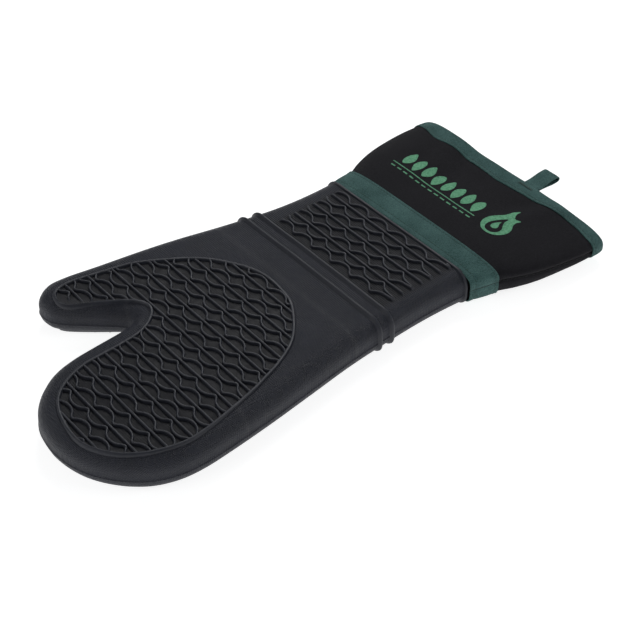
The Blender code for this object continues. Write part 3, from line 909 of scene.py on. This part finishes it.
def band(whole, u0, width, height, low_height, shape=RIB):
    """A rib that runs right round the hand at u0."""
    middle = loop_round(u0)
    t = tangents(middle, True)
    out = np.stack([t[:, 1], -t[:, 0]], axis=1)
    level = np.clip((middle[:, 1] - BASE) / (HINGE_Z - BASE), 0, 1)
    size = low_height + (height - low_height) * smooth(level * 2.5)
    cols = []
    for s, h in shape + ((1.0, -0.45), (-1.0, -0.45)):
        u = u0 + s * width / 2 / PITCH
        ring = loop_round(u)
        p = ring + out * (size * h)[:, None]
        x = float(xy(u, 0)[0])
        z = p[:, 1] + swell(x, p[:, 0] * MM) * np.clip(
            (ring[:, 1] - SIDE_HIGH) / (TOP - SIDE_HIGH), 0, 1) ** 2
        cols.append(np.column_stack([np.full(len(p), x), p[:, 0] * MM, z * MM]))
    rows = np.stack(cols, axis=1)
    add_strip(whole, rows, len(shape), ["gauntlet"] * len(rows), 1, True)


BAND = ((-1.0, -0.08), (-0.84, 0.06), (-0.68, 0.26), (-0.50, 0.60), (-0.30, 0.88), (-0.10, 0.99),
        (0.10, 0.99), (0.30, 0.88), (0.50, 0.60), (0.68, 0.26), (0.84, 0.06), (1.0, -0.08))
band(hand, 4.25, 4.4, 1.9, 1.15, BAND)
band(hand, 4.90, 4.4, 1.9, 1.15, BAND)
band(hand, 8.88, 2.2, 1.25, 1.0)

for name, obj in hand.build("silicone_{}", (SILICONE, GROUND_PAINTED_SHADE, RIBS)).items():
    attach(obj, name)
    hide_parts(f"shell_{name}")


# ---------------------------------------------------------- lining and batting
def quilt(x, y, pitch=0.024):
    """Depth of diamond quilting lines, 1 on a line and 0 between them."""
    a = np.abs(((x + y) / pitch) % 1.0 - 0.5) * 2
    b = np.abs(((x - y) / pitch) % 1.0 - 0.5) * 2
    near = np.minimum(a, b)
    return np.exp(-((near / 0.16) ** 2))


lining_profile, _ = rounding(4.9, 4, 5, base=0.0)
bag, bag_faces, _ = hand_surface(lining_profile, 3.2, 3.6, TOP - 4.9, 4.9)
bag_out = outward(bag, bag_faces)
flatness = np.abs(bag_out[:, 2]) ** 4
bag = bag - bag_out * (0.9 * MM * quilt(bag[:, 0], bag[:, 1]) * flatness)[:, None]
lining = Whole()
bag_cloth = np.stack([bag[:, 0] / MM, (bag[:, 1] + bag[:, 2]) / MM], axis=1)
shell_of(lining, bag, bag_faces, bag_out, np.full(len(bag), 1.0), cloth=bag_cloth)
LINING_FLAT = {  # width, length, cut area of both faces
    "fingers": (0.30, 0.100, 0.0190), "thumb": (0.12, 0.075, 0.0045),
    "palm": (0.30, 0.120, 0.0270), "gauntlet": (0.30, 0.095, 0.0250),
}
lining_pieces = lining.build("lining_{}_cloth", COTTON)
for name, obj in lining_pieces.items():
    attach(obj, name)
    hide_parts(f"lining_{name}")

for face, offset, low, high in (("top", ROUND_TOP + 1.5, TOP - 4.6, TOP - 2.3),
                                ("bottom", ROUND_BOTTOM + 1.5, 3.15, 4.75)):
    plan, inward = edge_at(3.2)
    ring = plan + inward * (offset * MM)
    gap = np.linalg.norm(ring[-1] - ring[0])
    t = np.linspace(0, 1, int(gap / 0.004) + 1)[1:-1, None]
    outline = np.concatenate([ring, ring[-1] + (ring[0] - ring[-1]) * t])
    pts, tris = fill_outline(outline, 0.004)
    at_rim = np.zeros(len(pts))
    at_rim[: len(outline)] = 1.0
    pinch = np.maximum(quilt(pts[:, 0], pts[:, 1]) * 0.55, at_rim * 0.5)
    middle = (low + high) / 2
    half = (high - low) / 2 * (1 - pinch)
    top_face = np.column_stack([pts, (middle + half) * MM])
    pads = Whole()
    straight = np.tile((0.0, 0.0, 1.0), (len(pts), 1))
    shell_of(pads, top_face, tris, straight, 2 * half)
    for name, obj in pads.build("batting_{}_%s_pad" % face, BATTING).items():
        attach(obj, name)
        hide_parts(f"batting_{name}_{face}")


# ------------------------------------------------------------------- the cuff
CUFF_START, CUFF_TAPE_END, CUFF_REAR, CUFF_END = 9.08, 10.2, 14.9, 15.55
CUFF_FLOOR = 1.7
LOW_SQUARE = 1.25
CUFF_STATIONS = (CUFF_START, CUFF_TAPE_END, 10.9, 11.6, 13.2, 14.9, 15.52)
# The cuff's sections: near edge, far edge (pitches), their heights, the top's
# height, how much the top lifts at the far edge (mm), and the squareness.
CUFF_SECTIONS = (
    (-7.68, 1.18, 13.2, 12.6, 24.4, 0.0, 4.6),
    (-8.06, 1.34, 14.6, 12.6, 24.4, 0.2, 4.3),
    (-8.40, 1.66, 15.0, 12.8, 24.3, 1.2, 4.0),
    (-8.64, 1.90, 14.6, 13.0, 23.8, 2.2, 3.8),
    (-8.90, 2.20, 12.8, 13.0, 22.4, 4.0, 3.4),
    (-8.98, 2.27, 10.4, 12.5, 21.0, 5.0, 3.2),
    (-8.93, 2.22, 9.6, 12.0, 20.6, 5.5, 3.1),
)


def mix(a, b, t):
    return a + (b - a) * t


def cuff_shape(u):
    keys = ("near", "far", "z_near", "z_far", "z_top", "lift", "power")
    return {key: eased(u, CUFF_STATIONS, [row[i] for row in CUFF_SECTIONS])
            for i, key in enumerate(keys)}


def cuff_ceiling(c, across):
    """Height of the cuff's top at a share across, -1 near and 1 far."""
    return c["z_top"] + c["lift"] * smooth((np.asarray(across) - 0.2) / 0.7)


def crease(u, v, at, to, width, tall):
    """A soft fold from one plan point to another, fading at its end."""
    a, b = np.array(at), np.array(to)
    d = b - a
    t = ((u - a[0]) * d[0] + (v - a[1]) * d[1]) / (d @ d)
    off = ((u - a[0]) * d[1] - (v - a[1]) * d[0]) / math.sqrt(d @ d)
    fade = smooth((t + 0.15) / 0.3) * smooth((1.1 - t) / 0.6)
    return tall * fade * np.exp(-((off / width) ** 2))


def rumple(u, v):
    """How the cuff's upper cloth lifts and sags, in mm."""
    u, v = np.asarray(u, float), np.asarray(v, float)
    z = crease(u, v, (15.4, -0.35), (11.6, -1.2), 0.55, 0.9)
    z = z + crease(u, v, (15.4, -1.25), (12.0, -2.6), 0.42, -0.9)
    z = z + crease(u, v, (15.4, -6.55), (11.4, -5.6), 0.50, 0.8)
    z = z + crease(u, v, (15.4, -5.85), (12.4, -4.7), 0.45, -0.7)
    z = z + crease(u, v, (15.2, -3.2), (13.0, -3.0), 0.8, -0.6)
    z = z + 0.18 * np.sin(u * 2.1 + v * 1.3) * np.sin(v * 1.9 - u * 0.6)
    return z * smooth((u - 10.3) / 1.6)


def cuff_loop(u, depth, half):
    """Closed section of the cuff at u: half points over the top from the far
    seam to the near seam, then half points back underneath. Metres."""
    c = cuff_shape(u)
    mid = (c["far"] + c["near"]) / 2
    half_width = (c["far"] - c["near"]) / 2 * PITCH - depth
    parts = []
    for upper in (True, False):
        t = np.linspace(0, math.pi, 700)
        w = np.cos(t) if upper else -np.cos(t)
        edge = mix(c["z_near"], c["z_far"], 0.5 + 0.5 * w)
        power = c["power"] * (1.0 if upper else LOW_SQUARE)
        rise = np.maximum(1 - np.abs(w) ** power, 0) ** (1 / power)
        if upper:
            z = edge + (cuff_ceiling(c, w) - depth - edge) * rise
            z = z + rumple(u, mid + w * half_width / PITCH) * smooth(rise * 1.3 - 0.3)
        else:
            z = edge - (edge - CUFF_FLOOR - depth) * rise
        path = np.stack([w * half_width, z], axis=1)
        parts.append(resample(path, count=half + 1)[:-1])
    ring = np.concatenate(parts)
    x, y = xy(u, mid)
    return np.column_stack([np.full(len(ring), float(x)), float(y) + ring[:, 0] * MM,
                            ring[:, 1] * MM])


def cuff_top(u, v, depth=0.0):
    """Height in mm of the cuff's upper face over plan points."""
    out = []
    for a, b in zip(np.ravel(u), np.ravel(v)):
        c = cuff_shape(a)
        half = (c["far"] - c["near"]) / 2 * PITCH - depth
        w = np.clip((b - (c["far"] + c["near"]) / 2) * PITCH / half, -1, 1)
        edge = mix(c["z_near"], c["z_far"], 0.5 + 0.5 * w)
        rise = (1 - abs(w) ** c["power"]) ** (1 / c["power"])
        out.append(edge + (float(cuff_ceiling(c, w)) - depth - edge) * rise
                   + float(rumple(a, b)) * smooth(rise * 1.3 - 0.3))
    return np.array(out)


def closed_grid(whole, grid, name, group, cloth, wrap_rows, wrap_cols):
    """Adds a grid of points (rows, columns, 3) as faces."""
    r, c, _ = grid.shape
    faces = []
    for i in range(r if wrap_rows else r - 1):
        for j in range(c if wrap_cols else c - 1):
            a, b = i * c + j, i * c + (j + 1) % c
            d, e = ((i + 1) % r) * c + j, ((i + 1) % r) * c + (j + 1) % c
            faces.append((a, b, e, d))
    whole.add(grid.reshape(-1, 3), faces, group, name, cloth)


def ring_lengths(ring):
    step = np.linalg.norm(np.roll(ring, -1, axis=0) - ring, axis=1)
    return np.concatenate([[0], np.cumsum(step)[:-1]]) / MM


HALF = 150
GROOVE = 0.0012


def tube(title, material, stations, outer, inner, dip=None, groove=0.0, wave=None):
    """A band of cloth right round the cuff, as a closed wall."""
    whole = Whole()
    rows, cloth = [], []
    for k, u in enumerate(stations):
        shift = 0.0 if dip is None else dip[k]
        ring = cuff_loop(u, outer + shift, HALF)
        at = ring_lengths(ring)
        total = at[-1] + at[1]
        if groove:
            for seam in (0.0, at[HALF], total):
                near = np.exp(-(((at - seam) / 1.0) ** 2))
                side = -1 if seam == at[HALF] else 1
                ring[:, 1] -= side * groove * MM * near
        if wave is not None:
            ring[:, 0] += wave(k, at / total) * MM
        rows.append(ring)
        cloth.append(np.stack([at, np.full(len(at), u * PITCH)], axis=1))
    for k in range(len(stations) - 1, -1, -1):
        ring = cuff_loop(stations[k], inner, HALF)
        if wave is not None:
            ring[:, 0] += wave(k, ring_lengths(ring) / (ring_lengths(ring)[-1] + 1)) * MM
        rows.append(ring)
        cloth.append(cloth[k])
    grid, uvs = np.array(rows), np.concatenate(cloth)
    n = len(stations)
    groups = []
    for i in range(2 * n):
        if i < n - 1:
            groups.append(1)
        elif i == n - 1 or i == 2 * n - 1:
            groups.append(0)
        else:
            groups.append(2)
    r, c, _ = grid.shape
    faces, gs = [], []
    for i in range(r):
        for j in range(c):
            a, b = i * c + j, i * c + (j + 1) % c
            d, e = ((i + 1) % r) * c + j, ((i + 1) % r) * c + (j + 1) % c
            faces.append((a, d, e, b))
            gs.append(groups[i])
    whole.add(grid.reshape(-1, 3), faces, gs, title, uvs)
    return whole.build("{}", material)[title]


def panel(title, upper):
    """One canvas panel of the cuff, from side seam to side seam."""
    stations = np.concatenate([[CUFF_START], np.arange(9.4, 15.5, 0.16), [15.52]])
    whole = Whole()
    outer_rows, inner_rows, cloth = [], [], []
    for u in stations:
        for depth, rows in ((0.0, outer_rows), (1.2, inner_rows)):
            ring = cuff_loop(u, depth, HALF)
            ring = np.concatenate([ring, ring[:1]])
            part = ring[: HALF + 1] if upper else ring[HALF:]
            at = np.concatenate([[0], np.cumsum(np.linalg.norm(np.diff(part, axis=0), axis=1))])
            inset = 0.45 * MM
            even = np.linspace(inset, at[-1] - inset, HALF + 1)
            part = np.stack([np.interp(even, at, part[:, k]) for k in range(3)], axis=1)
            if depth == 0.0:
                # the allowance turns in at the seam, which leaves a groove
                far_end = np.exp(-(((even) / GROOVE) ** 2))
                near_end = np.exp(-(((at[-1] - even) / GROOVE) ** 2))
                if not upper:
                    far_end, near_end = near_end, far_end
                part[:, 1] += (near_end - far_end) * 0.9 * MM
                cloth.append(np.stack([even / MM, np.full(len(even), u * PITCH)], axis=1))
            rows.append(part)
    outer, inner = np.array(outer_rows), np.array(inner_rows)
    r, c, _ = outer.shape
    faces, groups = [], []

    def put(a, b, e, d, g):
        faces.append((a, d, e, b))
        groups.append(g)

    total = r * c
    for i in range(r - 1):
        for j in range(c - 1):
            a, b, d, e = i * c + j, i * c + j + 1, (i + 1) * c + j, (i + 1) * c + j + 1
            put(a, b, e, d, 1)
            put(total + b, total + a, total + d, total + e, 2)
    for i in range(r - 1):
        for j, flip in ((0, False), (c - 1, True)):
            a, d = i * c + j, (i + 1) * c + j
            if flip:
                put(a, total + a, total + d, d, 0)
            else:
                put(total + a, a, d, total + d, 0)
    for i, flip in ((0, False), (r - 1, True)):
        for j in range(c - 1):
            a, b = i * c + j, i * c + j + 1
            if flip:
                put(a + 0, b + 0, total + b, total + a, 0)
            else:
                put(total + a, total + b, b, a, 0)
    uvs = np.concatenate(cloth)
    whole.add(np.concatenate([outer.reshape(-1, 3), inner.reshape(-1, 3)]), faces, groups,
              title, np.concatenate([uvs, uvs]))
    return whole.build("{}", CANVAS)[title]


canvas_top = panel("canvas_upper", True)
canvas_bottom = panel("canvas_lower", False)
for obj, node in ((canvas_top, "cuff_panel_top"), (canvas_bottom, "cuff_panel_bottom")):
    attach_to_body(obj, "cuff")
    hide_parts(node)

inner_cloth = tube(
    "cuff_inner_cloth", CUFF_CLOTH,
    np.concatenate([[CUFF_START], np.arange(9.5, 15.5, 0.24), [15.5]]), 1.5, 2.4)
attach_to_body(inner_cloth, "cuff")
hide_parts("cuff_lining")

tape_stations = np.array([8.95, 8.98, 9.06, 9.16, 9.22, 9.28, 9.38, 9.52, 9.66, 9.80, 9.92, 10.0,
                          10.06, 10.12, 10.17, 10.2])
tape_dip = np.array([0.35, 0.08, 0.0, 0.10, 0.26, 0.10, 0.0, -0.08, -0.1, -0.08, 0.0, 0.10, 0.26,
                     0.10, 0.05, 0.35])
tape = tube("joint_tape_cloth", TAPE, tape_stations, -1.05, -0.3, tape_dip, 0.55)
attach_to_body(tape, "cuff")
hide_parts("joint_tape")


KINKS = ((0.0, 0.5), (0.03, 1.6), (0.06, -0.8), (0.09, -3.2), (0.115, -1.5), (0.14, -0.8),
         (0.20, -1.1), (0.27, -2.0), (0.33, -0.4), (0.37, 1.5), (0.405, 2.4), (0.45, 1.2),
         (0.5, 0.3), (0.62, -0.8), (0.75, 0.9), (0.88, -0.6), (1.0, 0.5))


def kinks(share):
    """How far the binding's edge wanders along the mouth, in mm."""
    share = np.asarray(share, float)
    xs = [k[0] for k in KINKS]
    w = np.array([eased(t, xs, [k[1] for k in KINKS]) for t in share])
    return w + 0.12 * np.sin(share * 2 * math.pi * 23)


def binding():
    """The tape folded over the mouth's edge, outside and inside."""
    outline = [(14.87, 0.0), (14.88, -0.55), (14.93, -0.80), (14.99, -0.72), (15.03, -0.60),
               (15.08, -0.78), (15.2, -0.98), (15.35, -1.02), (15.48, -0.98), (15.57, -0.75),
               (15.615, -0.1), (15.625, 0.8), (15.62, 1.8), (15.60, 2.6), (15.54, 3.1),
               (15.4, 3.3), (15.2, 3.3), (15.03, 3.15), (14.92, 3.2), (14.9, 2.9),
               (14.95, 2.65), (15.2, 2.65), (15.45, 2.6), (15.545, 1.8), (15.545, 0.5),
               (15.5, -0.1), (15.3, -0.3), (15.0, -0.15)]
    rows, cloth, run = [], [], 0.0
    last = None
    for u, depth in outline:
        ring = cuff_loop(u, depth, HALF)
        at = ring_lengths(ring)
        share = at / (at[-1] + at[1])
        loose = float(smooth((15.35 - u) / 0.4))
        ring[:, 0] += kinks(share) * loose * MM
        if last is not None:
            run += math.hypot((u - last[0]) * PITCH, depth - last[1])
        last = (u, depth)
        rows.append(ring)
        cloth.append(np.stack([at, np.full(len(at), run)], axis=1))
    grid = np.array(rows)
    r, c, _ = grid.shape
    faces = []
    for i in range(r):
        for j in range(c):
            a, b = i * c + j, i * c + (j + 1) % c
            d, e = ((i + 1) % r) * c + j, ((i + 1) % r) * c + (j + 1) % c
            faces.append((a, d, e, b))
    whole = Whole()
    whole.add(grid.reshape(-1, 3), faces, 1, "mouth_binding_cloth", np.concatenate(cloth))
    return whole.build("{}", TAPE)["mouth_binding_cloth"]


edging = binding()
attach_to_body(edging, "cuff")
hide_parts("mouth_binding")


# -------------------------------------------------------------------- stitches
def thread_run(whole, centre, out, radius, name, sides=6):
    """A short piece of thread along points, tapered at both ends."""
    t = tangents(centre)
    side_dir = np.cross(t, out)
    side_dir /= np.linalg.norm(side_dir, axis=1)[:, None]
    up = np.cross(side_dir, t)
    n = len(centre)
    swell_ = 0.55 + 0.45 * np.sin(np.linspace(0, math.pi, n))
    verts = []
    for i in range(n):
        for k in range(sides):
            a = 2 * math.pi * k / sides
            verts.append(centre[i] + (side_dir[i] * math.cos(a) + up[i] * math.sin(a))
                         * radius * swell_[i])
    faces = []
    for i in range(n - 1):
        for k in range(sides):
            m = (k + 1) % sides
            faces.append((i * sides + k, i * sides + m, (i + 1) * sides + m, (i + 1) * sides + k))
    for k in range(1, sides - 1):
        faces.append((0, k + 1, k))
        faces.append(((n - 1) * sides, (n - 1) * sides + k, (n - 1) * sides + k + 1))
    side_count = (n - 1) * sides
    groups = [1] * side_count + [0] * (len(faces) - side_count)
    whole.add(verts, faces, groups, name)


def stitch_row(title, ring, material, spacing=2.9, length=2.1, radius=0.24, lift=0.25):
    """Stitches along a closed ring on the cloth's face."""
    lengths = np.concatenate([ring_lengths(ring), [0]])
    closed = np.concatenate([ring, ring[:1]])
    lengths[-1] = lengths[-2] + np.linalg.norm(ring[0] - ring[-1]) / MM
    count = int(round(lengths[-1] / spacing))
    whole = Whole()
    centre = ring.mean(0)
    for i in range(count):
        start = i * lengths[-1] / count
        at = start + np.linspace(0, length, 6)
        pts = np.stack([np.interp(at, lengths, closed[:, k]) for k in range(3)], axis=1)
        t = tangents(pts)
        out = np.cross(t, np.tile((1.0, 0, 0), (6, 1)))
        out /= np.linalg.norm(out, axis=1)[:, None]
        if ((pts[2] - centre) @ out[2]) < 0:
            out = -out
        arch = np.sin(np.linspace(0, math.pi, 6)) * lift - 0.12
        thread_run(whole, pts + out * (arch * MM)[:, None], out, radius * MM, title)
    return whole.build("{}", material)[title]


def grooved(ring, groove=0.55):
    at = ring_lengths(ring)
    total = at[-1] + at[1]
    for seam in (0.0, at[HALF], total):
        near = np.exp(-(((at - seam) / 1.0) ** 2))
        ring[:, 1] -= (-1 if seam == at[HALF] else 1) * groove * MM * near
    return ring


for title, u, depth, node in (
    ("stitches_tape_front", 9.22, -0.80, "stitch_tape_front"),
    ("stitches_tape_rear", 10.06, -0.80, "stitch_tape_rear"),
    ("stitches_binding", 15.03, -0.62, "stitch_binding"),
):
    ring = cuff_loop(u, depth, HALF)
    if node != "stitch_binding":
        ring = grooved(ring)
    else:
        at = ring_lengths(ring)
        ring[:, 0] += kinks(at / (at[-1] + at[1])) * float(smooth((15.35 - u) / 0.4)) * MM
    obj = stitch_row(title, ring, THREAD)
    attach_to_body(obj, "cuff")
    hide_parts(node)

for title, index, node in (("side_stitches_thumb_side", 0, "seam_thumb_side"),
                           ("side_stitches_far_side", HALF, "seam_far_side")):
    line = np.array([cuff_loop(u, 0.55, HALF)[index] for u in np.linspace(10.25, 14.85, 60)])
    whole = Whole()
    line = resample(line, step=0.5 * MM)
    out = np.tile((0, 1.0 if index == 0 else -1.0, 0), (5, 1))
    for start in range(0, len(line) - 5, 5):
        pts = line[start : start + 5].copy()
        pts[:, 2] += np.linspace(-0.3, 0.3, 5) * MM
        thread_run(whole, pts, out, 0.22 * MM, title)
    obj = whole.build("{}", BLACK_THREAD)[title]
    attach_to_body(obj, "cuff")
    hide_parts(node)

# The tape's two ends meet in a dark line in the middle of the side away from
# the thumb.
whole = Whole()
line = []
for u, dip in zip(tape_stations[1:-1], tape_dip[1:-1]):
    line.append(grooved(cuff_loop(u, -1.05 + dip, HALF))[HALF])
line = resample(np.array(line), step=0.8 * MM)
thread_run(whole, line, np.tile((0, -1.0, 0), (len(line), 1)), 0.26 * MM, "tape_end_seam")
tape_end = whole.build("{}", BLACK_THREAD)["tape_end_seam"]
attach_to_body(tape_end, "cuff")

# ---------------------------------------------------------------- hanging loop
LOOP_V = (-4.95, -4.15)
loop_root = JOINT["loop_swing"]
loop_low, loop_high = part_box("hanging_loop")


def loop_line():
    """Side view of the tape's middle, from the upper end round to the lower,
    in mm from the hinge line."""
    length = (loop_high.x - loop_root.x) / MM
    pts = [(-3.2, 0.75), (-1.0, 0.70), (1.5, 0.62), (4.5, 0.80), (8.0, 1.35), (12.0, 1.95),
           (length - 4.4, 2.15), (length - 2.3, 2.0), (length - 0.95, 1.35), (length - 0.5, 0.2),
           (length - 1.0, -0.9), (length - 2.5, -1.45), (14.0, -1.55), (11.0, -1.3),
           (8.0, -0.95), (4.5, -0.68), (1.5, -0.62), (-1.0, -0.7), (-3.2, -0.75)]
    return resample(spline(pts, 10), step=0.45)


def hanging_loop():
    line = loop_line()
    t = tangents(line)
    out = np.stack([-t[:, 1], t[:, 0]], axis=1)  # away from the loop's inside
    across = np.linspace(-1, 1, 15)
    half = (LOOP_V[1] - LOOP_V[0]) / 2 * PITCH
    n, m = len(line), len(across)
    thick = 0.42
    layers = []
    for sign in (1, -1):
        rows = []
        for i in range(n):
            row = []
            for a in across:
                edge = abs(a) ** 6
                rib_ = 0.10 * math.sin(a * 40) * (1 - edge)
                d = sign * (thick * (1 - 0.45 * edge)) + rib_ * 0.3
                s, h = line[i] + out[i] * d
                row.append((loop_root.x + s * MM, loop_root.y + a * half * MM,
                            loop_root.z + h * MM))
            rows.append(row)
        layers.append(rows)
    verts = np.array(layers).reshape(-1, 3)
    run = np.arange(n) * 0.45
    flat_uv = np.array([[(a * half, r) for a in across] for r in run]).reshape(-1, 2)
    total = n * m
    faces, groups = [], []
    for i in range(n - 1):
        for j in range(m - 1):
            a, b, d, e = i * m + j, i * m + j + 1, (i + 1) * m + j, (i + 1) * m + j + 1
            faces.append((a, d, e, b))
            groups.append(1)
            faces.append((total + a, total + b, total + e, total + d))
            groups.append(2)
        for j, flip in ((0, False), (m - 1, True)):
            a, d = i * m + j, (i + 1) * m + j
            f = (a, total + a, total + d, d)
            faces.append(tuple(reversed(f)) if flip else f)
            groups.append(0)
    for i, flip in ((0, True), (n - 1, False)):
        for j in range(m - 1):
            a, b = i * m + j, i * m + j + 1
            f = (a, total + a, total + b, b)
            faces.append(f if flip else tuple(reversed(f)))
            groups.append(0)
    whole = Whole()
    whole.add(verts, faces, groups, "hanging_loop_tape", np.concatenate([flat_uv, flat_uv]))
    return whole.build("{}", TAPE)["hanging_loop_tape"]


loop = hanging_loop()
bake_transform(loop)
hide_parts("hanging_loop")

# the bar of dense stitches over the loop's ends
whole = Whole()
count = 30
for i in range(count):
    share = (i + 0.5) / count
    v = LOOP_V[0] + (LOOP_V[1] - LOOP_V[0]) * share
    slant = 0.012 if i % 2 else -0.012
    us = np.linspace(15.24, 15.40, 6)
    vs = v + np.linspace(-slant, slant, 6)
    x, y = xy(us, vs)
    z = cuff_top(us, vs, -1.02) + np.sin(np.linspace(0, math.pi, 6)) * 0.28 - 0.10
    thread_run(whole, np.column_stack([x, y, z * MM]), np.tile((0, 0, 1.0), (6, 1)), 0.24 * MM,
               "loop_bar_tack_stitches")
tack = whole.build("{}", THREAD)["loop_bar_tack_stitches"]
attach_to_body(tack, "cuff")
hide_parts("loop_bar_tack")


# ------------------------------------------------------- generic printed motif
def ink_strip(whole, path, width, closed=False):
    """A line of ink, a fraction of a millimetre thick, on the cuff's top."""
    path = np.asarray(path, float)
    t = tangents(path, closed)
    across = np.stack([-t[:, 1], t[:, 0]], axis=1)
    size = np.broadcast_to(width, (len(path),)) / 2 / PITCH
    cols = []
    for s, lift in ((-1, 0.03), (-0.85, 0.12), (0.85, 0.12), (1, 0.03), (0.9, -0.25), (-0.9, -0.25)):
        p = path + across * (size * s)[:, None]
        x, y = xy(p[:, 0], p[:, 1])
        cols.append(np.column_stack([x, y, (cuff_top(p[:, 0], p[:, 1]) + lift) * MM]))
    rows = np.stack(cols, axis=1)
    n, m, _ = rows.shape
    faces, groups = [], []
    for i in range(n if closed else n - 1):
        j = (i + 1) % n
        for k in range(m):
            q = (k + 1) % m
            faces.append((i * m + k, j * m + k, j * m + q, i * m + q))
            groups.append(1 if k < 3 else 0)
    if not closed:
        for k in range(1, m - 1):
            faces.append((0, k, k + 1))
            faces.append(((n - 1) * m, (n - 1) * m + k + 1, (n - 1) * m + k))
            groups += [0, 0]
    flat = np.stack([p_ for p_ in [rows.reshape(-1, 3)[:, 0], rows.reshape(-1, 3)[:, 1]]], axis=1)
    whole.add(rows.reshape(-1, 3), faces, groups, "cuff_print", flat / MM)


def ink_patch(whole, outline, hole=None):
    """A filled shape of ink, with or without a hole in it."""
    outline = np.asarray(outline, float)
    lines = () if hole is None else (np.asarray(hole, float),)
    pts, tris = fill_outline(outline, 0.07, lines)
    if hole is not None:
        tris = [t for t in tris if not inside(lines[0], pts[list(t)].mean(0)[None])[0]]
    x, y = xy(pts[:, 0], pts[:, 1])
    z = cuff_top(pts[:, 0], pts[:, 1])
    top = np.column_stack([x, y, (z + 0.12) * MM])
    low = np.column_stack([x, y, (z - 0.25) * MM])
    n = len(pts)
    faces = [tuple(t) for t in tris] + [tuple(n + i for i in reversed(t)) for t in tris]
    groups = [1] * len(tris) + [0] * len(tris)
    start = 0
    for line in (outline, *lines):
        m = len(line)
        for i in range(m):
            a, b = start + i, start + (i + 1) % m
            faces.append((b, a, n + a, n + b) if start == 0 else (a, b, n + b, n + a))
            groups.append(0)
        start += m
    flat = np.stack([x, y], axis=1) / MM
    whole.add(np.concatenate([top, low]), faces, groups, "cuff_print", np.concatenate([flat, flat]))


ink = Whole()
FLAME = ((-0.95, 0.0), (-0.86, -0.36), (-0.62, -0.62), (-0.28, -0.74), (0.08, -0.68), (0.36, -0.50),
         (0.62, -0.44), (0.90, -0.50), (0.80, -0.26), (0.92, -0.10), (1.18, 0.04), (1.46, 0.06),
         (1.22, 0.24), (0.88, 0.30), (0.62, 0.38), (0.34, 0.56), (0.02, 0.70), (-0.32, 0.72),
         (-0.64, 0.60), (-0.87, 0.34))
TONGUE = ((-0.74, 0.0), (-0.68, -0.24), (-0.46, -0.40), (-0.18, -0.38), (0.06, -0.22), (0.30, -0.10),
          (0.62, -0.06), (0.40, 0.12), (0.16, 0.26), (-0.14, 0.38), (-0.44, 0.38), (-0.67, 0.23))


def turned(shape, at, size, per=6, step=0.05):
    p = spline(shape, per, True) * size
    p = p + np.array(at)
    area = np.cross(p, np.roll(p, -1, axis=0)).sum()
    return resample(p if area > 0 else p[::-1], step=step, closed=True)


ink_patch(ink, turned(FLAME, (12.45, -5.82), 0.92), turned(TONGUE, (12.38, -5.82), 0.92))
ink_patch(ink, turned(TONGUE, (12.30, -5.80), 0.42))
for i in range(8):
    at = -0.02 - i * 0.62
    leaf = ((-0.44, 0.0), (-0.20, -0.21), (0.10, -0.23), (0.36, -0.10), (0.52, 0.06), (0.26, 0.20),
            (-0.04, 0.23), (-0.30, 0.16))
    flip = -1 if i % 2 else 1
    shape = tuple((a * flip, b * flip) for a, b in leaf)
    ink_patch(ink, turned(shape, (12.62, at), 1.0))
v = np.arange(-4.75, 0.42, 0.045)
ink_strip(ink, np.stack([11.98 + 0.0 * v, v], axis=1), 0.8)
for i in range(13):
    a = -4.72 + i * 0.395
    w = np.linspace(a, a + 0.24, 7)
    ink_strip(ink, np.stack([np.full(7, 11.74), w], axis=1), 1.1)
mark = ink.build("{}", INK)["cuff_print"]
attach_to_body(mark, "cuff")

for name, obj in lining_pieces.items():
    w, l, area = LINING_FLAT[name]

# ------------------------------------------------------------- floor and light
floor_mesh = bpy.data.meshes.new("floor")
floor_mesh.from_pydata([(-6, -6, 0), (6, -6, 0), (6, 6, 0), (-6, 6, 0)], [], [(0, 1, 2, 3)])
floor = bpy.data.objects.new("floor", floor_mesh)
bpy.context.scene.collection.objects.link(floor)
paper = bpy.data.materials.new("pale_floor")
paper.use_nodes = True
shader = paper.node_tree.nodes["Principled BSDF"]
shader.inputs["Base Color"].default_value = (0.5, 0.5, 0.5, 1)
shader.inputs["Roughness"].default_value = 1.0
shader.inputs["Specular IOR Level"].default_value = 0.0
shader.inputs["Emission Color"].default_value = (1, 1, 1, 1)
shader.inputs["Emission Strength"].default_value = 0.85
floor_mesh.materials.append(paper)

world = bpy.data.worlds.new("studio")
world.use_nodes = True
world.node_tree.nodes["Background"].inputs[0].default_value = (0.86, 0.93, 1.0, 1)
world.node_tree.nodes["Background"].inputs[1].default_value = 0.13
bpy.context.scene.world = world
bpy.context.scene.view_settings.view_transform = "Standard"


def soft_light(name, where, aim, size, power):
    light = bpy.data.lights.new(name, "AREA")
    light.shape = "RECTANGLE"
    light.size, light.size_y = size
    light.energy = power
    obj = bpy.data.objects.new(name, light)
    bpy.context.scene.collection.objects.link(obj)
    obj.location = where
    obj.rotation_mode = "QUATERNION"
    obj.rotation_quaternion = (Vector(aim) - Vector(where)).to_track_quat("-Z", "Y")


soft_light("key", (0.70, 0.68, 0.98), (-0.05, 0, 0), (0.7, 0.7), 8.4)
soft_light("near_side", (0.75, -0.95, 0.85), (0.05, -0.05, 0), (0.6, 0.4), 3.4)
soft_light("tips", (-1.3, 0.3, 0.8), (-0.1, 0, 0), (0.9, 0.6), 4.6)
soft_light("top", (-0.2, 0.2, 1.7), (0, 0, 0), (1.4, 1.4), 0.7)
